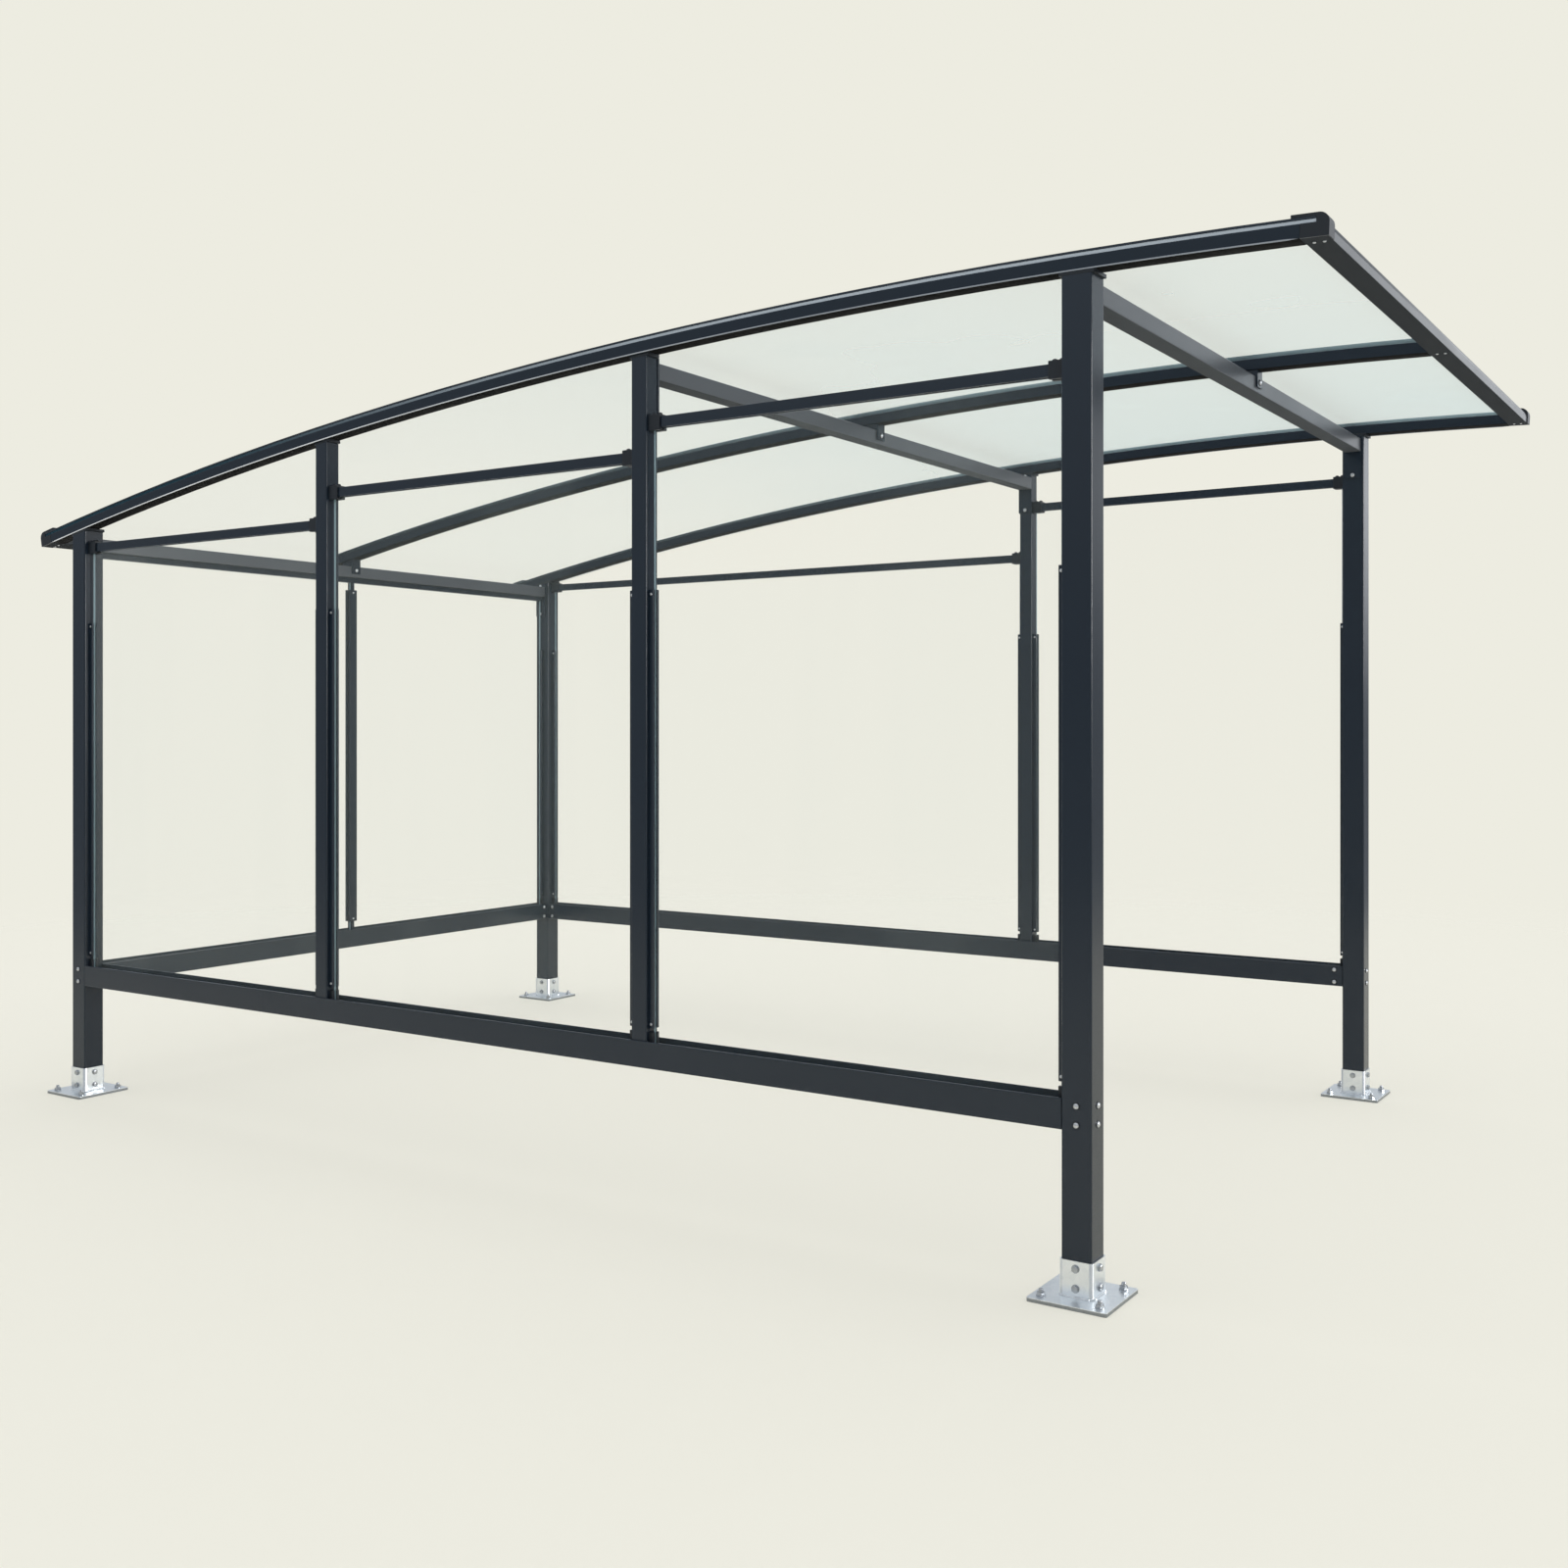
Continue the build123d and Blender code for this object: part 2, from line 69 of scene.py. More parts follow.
# %% Posts and bays
LOW, HIGH = 0, 1
X, Y, Z = 0, 1, 2
corners = ("near_left", "near_right", "far_left", "far_right")
posts = {corner: np.array(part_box(f"corner_post_{corner}")) for corner in corners}
second_post = np.array(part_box("near_second_post"))
third_post = np.array(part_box("near_third_post"))
far_middle_post = np.array(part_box("far_middle_post"))
bay_walls = {
    "near_left": (posts["near_left"][HIGH, X], second_post[LOW, X]),
    "near_middle": (second_post[HIGH, X], third_post[LOW, X]),
    "near_right": (third_post[HIGH, X], posts["near_right"][LOW, X]),
    "far_long": (posts["far_left"][HIGH, X], far_middle_post[LOW, X]),
    "far_right": (far_middle_post[HIGH, X], posts["far_right"][LOW, X]),
}
print("bays:", {bay: round(float(end - start), 3) for bay, (start, end) in bay_walls.items()})

# %% [markdown]
# ## Tools for nodes
# A finish in Blender is a small network of nodes. Written out by hand, it takes a line for every node,
# every value and every link. These helpers do all three together, so that a finish reads like a formula:
# each input is given a number, a colour, or the output of another node.

# %% Nodes, values and links
def feed(tree, node, inputs):
    """Gives each named or numbered input of a node its value: the output of another node is linked, and
    a number, a vector or a colour of three numbers is set."""
    for label, value in dict(inputs).items():
        socket = node.inputs[label]
        if isinstance(value, bpy.types.NodeSocket):
            tree.links.new(value, socket)
        elif socket.type == "RGBA":
            socket.default_value = (*value, 1.0)
        else:
            socket.default_value = value


def add_node(tree, kind, inputs=(), **options):
    """A new node with its options set and its inputs fed."""
    node = tree.nodes.new(kind)
    for option, value in options.items():
        setattr(node, option, value)
    feed(tree, node, inputs)
    return node


def calculate(tree, operation, *values):
    """The result of one Math node on sockets or plain numbers."""
    return add_node(tree, "ShaderNodeMath", enumerate(values), operation=operation).outputs[0]


def mix_colours(tree, share, first, second, blend="MIX"):
    """The colour that lies between two others by a share from 0 to 1; with MULTIPLY, their product."""
    inputs = {"Fac": share, "Color1": first, "Color2": second}
    return add_node(tree, "ShaderNodeMixRGB", inputs, blend_type=blend).outputs["Color"]


def smooth_rise(tree, value, start, end):
    """0 up to start, 1 from end on, and an S-shaped rise between the two."""
    inputs = {"Value": value, "From Min": start, "From Max": end}
    return add_node(tree, "ShaderNodeMapRange", inputs, interpolation_type="SMOOTHSTEP").outputs[0]


def own_place(tree):
    """Object coordinates, which are a point's place in the frame, since no piece is moved."""
    return add_node(tree, "ShaderNodeTexCoord").outputs["Object"]


def own_axis(tree, axis):
    """A point's X, Y or Z in the frame."""
    return add_node(tree, "ShaderNodeSeparateXYZ", {0: own_place(tree)}).outputs[axis]


print("node helpers are ready")

# %% [markdown]
# ## Groups and materials
# An effect that several finishes share could be copied into each of them. A node group is better: it is
# built once, has named inputs and outputs, and every material that uses it sets its own values. A group
# here gives out colours, masks, values or normals only, and the shader itself stays in the material.

# %% Empty groups and materials
def new_group(name, inputs, outputs):
    """An empty node group with the given sockets, as (group, input node, output node)."""
    group = bpy.data.node_groups.new(name, "ShaderNodeTree")
    for label, kind, value in inputs:
        socket = group.interface.new_socket(label, in_out="INPUT", socket_type=f"NodeSocket{kind}")
        socket.default_value = value
    for label, kind in outputs:
        group.interface.new_socket(label, in_out="OUTPUT", socket_type=f"NodeSocket{kind}")
    return group, group.nodes.new("NodeGroupInput"), group.nodes.new("NodeGroupOutput")


def place_group(tree, group, inputs=()):
    """The outputs of a group that is placed in a material with its own values."""
    return add_node(tree, "ShaderNodeGroup", inputs, node_tree=group).outputs


def new_material(name):
    """A node material with a plain Principled shader, as (material, node tree, shader)."""
    material = bpy.data.materials.new(name)
    material.use_nodes = True
    return material, material.node_tree, material.node_tree.nodes["Principled BSDF"]


print("materials that came with the frame:", len(bpy.data.materials))

# %% [markdown]
# ## Which way a face looks
# A clear sheet has other looks on its cut edges than on its broad faces, and the undersides of the roof's
# beams are duller than their sides, with a darker colour of painted shade. The faces could be sorted by
# hand and given several materials.
# Instead a mask compares each face's normal with an axis, so one material covers the whole piece.

# %% Mask by direction
SQUARE_ENOUGH = 0.6


def facing_mask_group():
    """Signed is the dot product of a face's normal and the axis, from -1 to 1. Mask is 1 where the size
    of that product is above the threshold, whichever way the face looks, and 0 elsewhere."""
    group, inside, out = new_group(
        "facing_mask",
        [("Axis", "Vector", (0.0, 1.0, 0.0)), ("Threshold", "Float", SQUARE_ENOUGH)],
        [("Mask", "Float"), ("Signed", "Float")],
    )
    normal = add_node(group, "ShaderNodeNewGeometry").outputs["True Normal"]
    both = {0: normal, 1: inside.outputs["Axis"]}
    signed = add_node(group, "ShaderNodeVectorMath", both, operation="DOT_PRODUCT").outputs["Value"]
    size = calculate(group, "ABSOLUTE", signed)
    mask = calculate(group, "GREATER_THAN", size, inside.outputs["Threshold"])
    feed(group, out, {"Mask": mask, "Signed": signed})
    return group


facing_mask = facing_mask_group()
print("node group:", facing_mask.name)

# %% [markdown]
# ## Grain of the powder coat
# The frame is powder-coated steel. Such a coat isn't quite smooth: it has a fine grain, like the peel of
# an orange, and its sheen changes slowly from place to place. A flat colour would look like film, and an
# image would show its seams, so two noises make the grain and the sheen from a point's own place.

# %% Coat grain
GRAIN_SCALE = 420.0
GRAIN_DETAIL = 2.0
GRAIN_HEIGHT = 0.0006
GRAIN_STRENGTH = 0.02
SHEEN_SCALE = 3.0


def coat_grain_group():
    """Normal is bumped by a fine noise; Sheen is a slow noise between 0 and 1."""
    group, inside, out = new_group(
        "coat_grain",
        [("Strength", "Float", GRAIN_STRENGTH)],
        [("Normal", "Vector"), ("Sheen", "Float")],
    )
    place = own_place(group)
    fine_inputs = {"Vector": place, "Scale": GRAIN_SCALE, "Detail": GRAIN_DETAIL}
    fine = add_node(group, "ShaderNodeTexNoise", fine_inputs).outputs[0]
    slow = add_node(group, "ShaderNodeTexNoise", {"Vector": place, "Scale": SHEEN_SCALE}).outputs[0]
    bump_inputs = {"Strength": inside.outputs["Strength"], "Distance": GRAIN_HEIGHT, "Height": fine}
    bump = add_node(group, "ShaderNodeBump", bump_inputs)
    feed(group, out, {"Normal": bump.outputs["Normal"], "Sheen": slow})
    return group


coat_grain = coat_grain_group()
print("node group:", coat_grain.name)

# %% [markdown]
# ## Paints and black plastic
# The paint is a nearly black anthracite, so most of the light on it is reflection, and its sheen matters
# more than its colour. Crossbeams and end bars wear the same paint, but they are given a lighter grey as
# painted sheen, and their undersides a darker colour as painted shade. Separate objects could do that,
# but one paint recipe with a few settings is easier to follow.
# Caps and clamps are black plastic, which is the same recipe with a stronger grain, and so are the black
# rings of painted shade under the frame bolts.

# %% Paints
SHEEN_RANGE = 0.10
LOOKS_DOWN = 0.8
DOWN = (0.0, 0.0, -1.0)
ANTHRACITE = (0.0100, 0.0175, 0.0280)
# The crossbeam and end bar greys are the anthracite lightened as painted sheen; the underside colours are
# painted shade on faces that look down.
CROSSBEAM_PAINTED_SHEEN = (0.066, 0.075, 0.086)
CROSSBEAM_PAINTED_SHADE = (0.046, 0.053, 0.061)
END_BAR_PAINTED_SHEEN = (0.030, 0.036, 0.043)
END_BAR_PAINTED_SHADE = (0.016, 0.020, 0.025)
BEAM_PAINTED_SHADE = (0.001, 0.001, 0.001)
PLASTIC_BLACK = (0.010, 0.014, 0.019)


def paint(name, colour, roughness, gloss, grain=GRAIN_STRENGTH, painted_shade=None):
    """Satin coat whose roughness strays with its sheen, by half the range to either side. Where
    painted_shade is given, faces that look down go dull and take that colour, a painted shade."""
    material, tree, shader = new_material(name)
    coat = place_group(tree, coat_grain, {"Strength": grain})
    rough = calculate(tree, "MULTIPLY_ADD", coat["Sheen"], SHEEN_RANGE, roughness - SHEEN_RANGE / 2)
    # Faces that look down take the darker colour as painted shade and turn fully rough.
    if painted_shade:
        downward = place_group(tree, facing_mask, {"Axis": DOWN})["Signed"]
        below = calculate(tree, "GREATER_THAN", downward, LOOKS_DOWN)
        colour = mix_colours(tree, below, colour, painted_shade)
        rough = calculate(tree, "MAXIMUM", rough, below)
    feed(tree, shader, {"Base Color": colour, "Roughness": rough, "Normal": coat["Normal"]})
    feed(tree, shader, {"Specular IOR Level": gloss})
    return material


frame_paint = paint("frame_paint", ANTHRACITE, roughness=0.24, gloss=0.40)
# Beams, crossbeams and end bars carry painted shade on their undersides.
beam_paint = paint("beam_paint", ANTHRACITE, roughness=0.34, gloss=0.22, painted_shade=BEAM_PAINTED_SHADE)
crossbeam_paint = paint(
    "crossbeam_paint", CROSSBEAM_PAINTED_SHEEN, roughness=0.34, gloss=0.50, grain=0.008, painted_shade=CROSSBEAM_PAINTED_SHADE
)
end_bar_paint = paint(
    "end_bar_paint", END_BAR_PAINTED_SHEEN, roughness=0.30, gloss=0.40, grain=0.008, painted_shade=END_BAR_PAINTED_SHADE
)
black_plastic = paint("black_plastic", PLASTIC_BLACK, roughness=0.40, gloss=0.35, grain=0.06)
print("materials with the paints:", len(bpy.data.materials))

# %% [markdown]
# ## Zinc spangle
# The feet are dipped in molten zinc, which cools into flat crystals called spangle, each with its own
# shade. A noise would blur them into clouds. Voronoi cells have one random value each and sharp borders,
# so they look like crystals.

# %% Zinc spangle
SPANGLE_SCALE = 85.0
DARK_CRYSTAL = (0.80, 0.84, 0.87)
BRIGHT_CRYSTAL = (0.87, 0.90, 0.92)
CRYSTAL_ROUGHNESS = 0.28
ROUGHNESS_RANGE = 0.04


def zinc_spangle_group():
    """Each Voronoi cell has a random colour: its red picks the cell's grey, and its green is scaled and
    added to the least roughness."""
    group, inside, out = new_group(
        "zinc_spangle",
        [("Scale", "Float", SPANGLE_SCALE)],
        [("Color", "Color"), ("Roughness", "Float")],
    )
    cell_inputs = {"Vector": own_place(group), "Scale": inside.outputs["Scale"]}
    cells = add_node(group, "ShaderNodeTexVoronoi", cell_inputs)
    chance = add_node(group, "ShaderNodeSeparateColor", {"Color": cells.outputs["Color"]}).outputs
    rough = calculate(group, "MULTIPLY_ADD", chance["Green"], ROUGHNESS_RANGE, CRYSTAL_ROUGHNESS)
    grey = mix_colours(group, chance["Red"], DARK_CRYSTAL, BRIGHT_CRYSTAL)
    feed(group, out, {"Color": grey, "Roughness": rough})
    return group


zinc_spangle = zinc_spangle_group()
print("node group:", zinc_spangle.name)

# %% [markdown]
# ## Feet, bolts and welds in zinc
# Feet, bolts and welds are all bare zinc, but bolts are darker and have finer crystals. Each could be a
# material of its own from the ground up. One recipe with a tint and a scale keeps them related. Below the
# base plate's rim the feet's zinc turns a dark grey, a painted shade on the plate's edge where it meets
# the floor.

# %% Zinc on feet, bolts and welds
PLATE_THICKNESS = 0.010
PLATE_RIM = 0.85 * PLATE_THICKNESS
# The dark grey below the plate's rim is painted shade where the plate meets the floor.
RIM_PAINTED_SHADE = (0.30, 0.32, 0.34)


def zinc(name, tint, scale, rim=None):
    """Bare metal: the spangle's grey times a tint, and below the height rim a dark grey of painted shade."""
    material, tree, shader = new_material(name)
    spangle = place_group(tree, zinc_spangle, {"Scale": scale})
    colour = mix_colours(tree, 1.0, spangle["Color"], tint, "MULTIPLY")
    if rim:
        # Below the rim the colour turns to painted shade.
        at_rim = calculate(tree, "LESS_THAN", own_axis(tree, "Z"), rim)
        colour = mix_colours(tree, at_rim, colour, RIM_PAINTED_SHADE)
    feed(tree, shader, {"Base Color": colour, "Roughness": spangle["Roughness"], "Metallic": 1.0})
    return material


galvanised = zinc("galvanised", tint=(1.0, 1.0, 1.0), scale=70.0, rim=PLATE_RIM)
bright_zinc = zinc("bright_zinc", tint=(0.70, 0.69, 0.69), scale=260.0)
dark_zinc = zinc("dark_zinc", tint=(0.53, 0.53, 0.54), scale=260.0)
weld_zinc = zinc("weld_zinc", tint=(0.79, 0.79, 0.79), scale=180.0)
print("materials with the zinc:", len(bpy.data.materials))

# %% [markdown]
# ## Along the roof
# The roof rises from its closed end to its open end, so it meets the light differently along its length:
# the glint on the line under a side beam is pale at the closed end and dim at the open one, and the glint
# on the roof sheets' cut edges runs the other way. A second light could do that, but would also touch
# everything else, so these glints are painted in: a share that grows with X.

# %% Painted glint along the roof
# Between these X the painted glints pass from the closed end's look to the open end's.
GLINT_CHANGE_START = -1.6
GLINT_CHANGE_END = 1.2
# Colours of the painted glint under the side beams, at the closed and at the open end.
GLINT_CLOSED_END = (0.74, 0.77, 0.80)
GLINT_OPEN_END = (0.24, 0.27, 0.31)


def along_roof_group():
    """Share is 0 towards the closed end of the roof and 1 towards the open end, with a smooth rise."""
    group, _, out = new_group("along_roof", [], [("Share", "Float")])
    share = smooth_rise(group, own_axis(group, "X"), GLINT_CHANGE_START, GLINT_CHANGE_END)
    feed(group, out, {"Share": share})
    return group


def glint_paint(name, closed_end, open_end, roughness):
    """Grained coat whose colour, a painted glint, passes from one end's to the other's along the roof."""
    material, tree, shader = new_material(name)
    colour = mix_colours(tree, place_group(tree, along_roof)["Share"], closed_end, open_end)
    normal = place_group(tree, coat_grain)["Normal"]
    feed(tree, shader, {"Base Color": colour, "Roughness": roughness, "Normal": normal})
    return material


along_roof = along_roof_group()
painted_glint_trim = glint_paint("painted_glint_trim", GLINT_CLOSED_END, GLINT_OPEN_END, roughness=0.35)
print("node group:", along_roof.name, "and trim:", painted_glint_trim.name)

# %% [markdown]
# ## Streaks on the panes
# A large pane is never seen as perfectly clear: faint upright bands of reflection hang in it. Painted
# bands would repeat, so a noise is stretched far along Z, and only its peaks are kept.

# %% Pane streaks
STREAK_SQUEEZE = (2.6, 2.6, 0.12)
STREAK_DETAIL = 1.0
STREAK_FOOT, STREAK_PEAK = 0.52, 0.66
STREAK_STRENGTH = 0.02


def pane_streaks_group():
    """Veil is a noise whose coordinates are squeezed along Z, raised smoothly from 0 at the streaks' foot
    to 1 at their peak, times the strength."""
    group, inside, out = new_group(
        "pane_streaks",
        [("Strength", "Float", STREAK_STRENGTH)],
        [("Veil", "Float")],
    )
    squeeze_inputs = {"Vector": own_place(group), "Scale": STREAK_SQUEEZE}
    squeezed = add_node(group, "ShaderNodeMapping", squeeze_inputs).outputs["Vector"]
    band_inputs = {"Vector": squeezed, "Scale": 1.0, "Detail": STREAK_DETAIL}
    bands = add_node(group, "ShaderNodeTexNoise", band_inputs).outputs[0]
    peaks = smooth_rise(group, bands, STREAK_FOOT, STREAK_PEAK)
    feed(group, out, {"Veil": calculate(group, "MULTIPLY", peaks, inside.outputs["Strength"])})
    return group


pane_streaks = pane_streaks_group()
print("node group:", pane_streaks.name)

# %% [markdown]
# ## Clear sheets
# Side panes, end panes and roof sheets are clear. Real glass with refraction is slow to render and goes
# dark where several panes overlap. Here a sheet is nearly see-through: its alpha is a thin veil, a painted
# reflection, that thickens by Fresnel where the sheet is seen at a slant, and its cut edges are almost
# solid, with a colour of their own. Shadow and diffuse rays pass the veil, so the panes throw no grey
# shadows.

# %% Clear sheet
SHEET_IOR = 1.45
SHEET_ROUGHNESS = 0.22
THICKEST_VEIL = 0.5
# The veil, a painted reflection, thickens along the roof from this share by this gain.
CLOSED_END_VEIL, VEIL_GAIN = 0.35, 0.7
EDGE_FROM_INSIDE, EDGE_GAIN = 0.4, 0.5


def clear(name, axis, veil_tint, edge, gloss, open_end_glint=None):
    """Alpha is the greater of two: on all faces the veil, a painted reflection which is Fresnel plus streaks
    up to a limit and only on the front, and on the cut edges a nearly solid body, or half of one from
    inside.
    Where open_end_glint is given, the edge's colour changes along the roof as a painted glint, and the
    veil changes along it as a painted reflection."""
    material, tree, shader = new_material(name)
    broad = place_group(tree, facing_mask, {"Axis": axis})["Mask"]
    rays = add_node(tree, "ShaderNodeLightPath").outputs
    passing = calculate(tree, "MAXIMUM", rays["Is Shadow Ray"], rays["Is Diffuse Ray"])
    behind = add_node(tree, "ShaderNodeNewGeometry").outputs["Backfacing"]
    front = calculate(tree, "SUBTRACT", 1.0, calculate(tree, "MAXIMUM", behind, passing))
    slant = add_node(tree, "ShaderNodeFresnel", {"IOR": SHEET_IOR}).outputs[0]
    slant_and_streaks = calculate(tree, "ADD", slant, place_group(tree, pane_streaks)["Veil"])
    veil = calculate(tree, "MULTIPLY", calculate(tree, "MINIMUM", slant_and_streaks, THICKEST_VEIL), front)
    # Along the roof the cut edge takes a painted glint and the veil, a painted reflection, thickens.
    if open_end_glint:
        share = place_group(tree, along_roof)["Share"]
        edge = mix_colours(tree, share, edge, open_end_glint)
        thickening = calculate(tree, "MULTIPLY_ADD", share, VEIL_GAIN, CLOSED_END_VEIL)
        veil = calculate(tree, "MULTIPLY", veil, thickening)
    cut = calculate(tree, "SUBTRACT", 1.0, broad)
    body = calculate(tree, "MULTIPLY_ADD", front, EDGE_GAIN, EDGE_FROM_INSIDE)
    alpha = calculate(tree, "MAXIMUM", veil, calculate(tree, "MULTIPLY", cut, body))
    feed(tree, shader, {"Base Color": mix_colours(tree, broad, edge, veil_tint), "Alpha": alpha})
    feed(tree, shader, {"Roughness": SHEET_ROUGHNESS, "Specular IOR Level": gloss})
    return material


print("clear sheets have an index of", SHEET_IOR)

# %% [markdown]
# ## Three kinds of sheet
# The side panes face along Y, the end panes along X and the roof sheets along Z, so each kind has its own
# axis for the edge mask. The roof's veil stands for the sky in it, so its own mirror is switched off:
# without that the sheets would turn white from some sides.

# %% Panes and roof sheets
# The first colour of each kind tints the veil, a painted reflection, and gives the roof its faint blue.
PANE_VEIL_TINT = (0.62, 0.72, 0.70)
PANE_EDGE = (0.45, 0.66, 0.74)
PANE_GLOSS = 0.25
ROOF_VEIL_TINT = (0.60, 0.85, 1.00)
# The roof edge is dark at the closed end and a pale painted glint at the open end.
ROOF_EDGE_CLOSED = (0.02, 0.05, 0.07)
ROOF_EDGE_OPEN_GLINT = (0.42, 0.48, 0.54)
NO_MIRROR = 0.0
side_pane = clear("side_pane", (0.0, 1.0, 0.0), PANE_VEIL_TINT, PANE_EDGE, PANE_GLOSS)
end_pane = clear("end_pane", (1.0, 0.0, 0.0), PANE_VEIL_TINT, PANE_EDGE, PANE_GLOSS)
roof_pane = clear("roof_pane", (0.0, 0.0, 1.0), ROOF_VEIL_TINT, ROOF_EDGE_CLOSED, NO_MIRROR, ROOF_EDGE_OPEN_GLINT)
print("materials in all:", len(bpy.data.materials))

# %% [markdown]
# ## Finishes on the CAD nodes
# Every piece of the frame takes one finish. The finishes could be set one by one, but the nodes' names
# already say what each one is, so a short list of rules covers all of them, and new nodes too.

# %% Finishes
def finish_of(name):
    """Material and record slot for a CAD node."""
    if name.startswith("foot_"):
        return galvanised, "galvanised"
    if name.endswith("_roof_sheet"):
        return roof_pane, "clear_roof"
    if name in ("end_near_pane", "end_far_pane"):
        return end_pane, "clear_pane"
    if name.endswith("_pane"):
        return side_pane, "clear_pane"
    if any(word in name for word in ("cap", "clamps", "blocks")):
        return black_plastic, "black_plastic"
    if name.endswith("_arched_beam"):
        return beam_paint, "frame_paint"
    if name.endswith("_crossbeam"):
        return crossbeam_paint, "frame_paint"
    if name.startswith("roof_end_bar"):
        return end_bar_paint, "frame_paint"
    return frame_paint, "frame_paint"


for name, node in nodes.items():
    material, slot = finish_of(name)
    node.data.materials.clear()
    node.data.materials.append(material)
print("finished nodes:", len(nodes))

# %% [markdown]
# ## Softened edges
# Rolled and drawn metal has no knife edges: each corner is a small curve that catches a thin line of
# light. The curves could be modelled in the CAD, at a high cost in faces. A Bevel modifier does it here.
# The CAD meshes are loose triangles, so a Weld modifier joins them first, or no edge would be found.

# %% Edge bevels
BEVELLED = (
    "arched_beam", "end_bar", "cover_strip", "top_bar", "channel",
    "mullion", "plates", "foot_", "clamps", "rail",
)
JOIN_DISTANCE = 0.00002
EDGE_WIDTH = 0.0012
EDGE_STEPS = 2
EDGE_ANGLE = math.radians(50)

bevelled_nodes = [node for name, node in nodes.items() if any(word in name for word in BEVELLED)]
for node in bevelled_nodes:
    weld = node.modifiers.new("join", "WELD")
    weld.merge_threshold = JOIN_DISTANCE
    bevel = node.modifiers.new("edge", "BEVEL")
    bevel.width = EDGE_WIDTH
    bevel.segments = EDGE_STEPS
    bevel.limit_method = "ANGLE"
    bevel.angle_limit = EDGE_ANGLE
    bevel.harden_normals = False
print("bevelled nodes:", len(bevelled_nodes))

# %% [markdown]
# ## From a grid to a mesh
# Each added shape is a grid of points: rows along a profile or path, columns round it. Blender's own
# primitives could be placed one by one, but an array of points says exactly where every surface is.
# Where a row shrinks to one point, or the last row meets the first, the doubled points are merged, so
# poles and seams are closed. Edges over a certain angle stay sharp, and the rest is shaded smooth.

# %% Grid and mesh
MERGE_DISTANCE = 0.000005
SHARP_ANGLE = math.radians(38)


def quads(rows, columns):
    """Faces of a grid whose columns close into a loop: each face is a point, the next point in its row,
    and the same two points one row on."""
    row, column = np.meshgrid(np.arange(rows - 1), np.arange(columns), indexing="ij")
    start = row * columns + column
    after = row * columns + (column + 1) % columns
    return np.stack([start, after, after + columns, start + columns], -1).reshape(-1, 4)


def add_piece(name, surface, material):
    """One mesh object from a surface's points and faces, merged, shaded, and riding on the frame."""
    points, faces = surface
    mesh = bpy.data.meshes.new(name)
    mesh.from_pydata(points.tolist(), [], faces.tolist())
    shell = bmesh.new()
    shell.from_mesh(mesh)
    bmesh.ops.remove_doubles(shell, verts=shell.verts, dist=MERGE_DISTANCE)
    shell.to_mesh(mesh)
    shell.free()
    mesh.polygons.foreach_set("use_smooth", np.ones(len(mesh.polygons), bool))
    mesh.set_sharp_from_angle(angle=SHARP_ANGLE)
    mesh.update()
    mesh.materials.append(material)
    piece = bpy.data.objects.new(name, mesh)
    bpy.context.scene.collection.objects.link(piece)
    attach(piece, "root")
    print(name, len(mesh.vertices), "points")
    return piece


print("a grid of 3 by 8 has", len(quads(3, 8)), "faces")

# %% [markdown]
# ## Turned shapes
# Bolts, nuts, washers and screws are turned on a lathe, so they could be cylinders from a menu. A profile
# carried round an axis gives their chamfers and domes too. A hexagon is the same turned shape with its
# radius stretched towards six corners. One base shape is then copied to all its places as one array.

# %% Turning and copying
SIXTH = np.pi / 3
SKIRT_SHARE = 0.3
LAST_TURN = 0.96 * np.pi / 2
NEARLY_UPRIGHT = 0.9


def turned(profile, around=24, hexagon=()):
    """A turned shape about +Z: each point is (r k cos a, r k sin a, z) for a profile row (r, z) and an
    angle a, where k is 1 on round rows and 1 / cos(a folded into one sixth) on hexagon rows."""
    radius, height = np.array(profile, float).T
    angle = np.linspace(0, 2 * np.pi, around, endpoint=False)
    folded = (angle + SIXTH / 2) % SIXTH - SIXTH / 2
    stretch = np.ones((len(radius), around))
    stretch[list(hexagon)] = 1 / np.cos(folded)
    reach = radius[:, None] * stretch
    level = np.broadcast_to(height[:, None], reach.shape)
    points = np.stack([reach * np.cos(angle), reach * np.sin(angle), level], -1)
    return points.reshape(-1, 3), quads(len(radius), around)


def dome(radius, height, rows=5):
    """Profile of a domed head of radius R and height H: a flat bottom, a straight skirt up to 0.3 H, then
    (R cos t, 0.3 H + 0.7 H sin t) almost to a quarter turn, and a last point on the axis."""
    turn = np.linspace(0, LAST_TURN, rows)
    level = SKIRT_SHARE * height + (1 - SKIRT_SHARE) * height * np.sin(turn)
    cap = np.stack([radius * np.cos(turn), level], 1)
    return [(0.0, 0.0), (radius, 0.0)] + cap.tolist() + [(0.0, height)]


def rotations(axes):
    """Matrices that carry +Z to each unit axis: their columns are two directions square to it, found by
    cross products with an upright or, for upright axes, a level helper, and the axis itself."""
    axes = np.asarray(axes, float)
    upright = np.abs(axes[:, [Z]]) > NEARLY_UPRIGHT
    helper = np.where(upright, [[1.0, 0.0, 0.0]], [[0.0, 0.0, 1.0]])
    across = np.cross(helper, axes)
    across /= np.linalg.norm(across, axis=1, keepdims=True)
    return np.stack([across, np.cross(axes, across), axes], -1)


def copies(shape, places, axes):
    """The base shape turned to each axis and moved to each place, as one array of points and faces."""
    points, faces = shape
    places = np.asarray(places, float)
    moved = np.einsum("mij,nj->mni", rotations(axes), points) + places[:, None]
    shifts = np.arange(len(places)) * len(points)
    return moved.reshape(-1, 3), (faces[None] + shifts[:, None, None]).reshape(-1, 4)


print("a domed head has", len(dome(1.0, 1.0)), "profile rows")

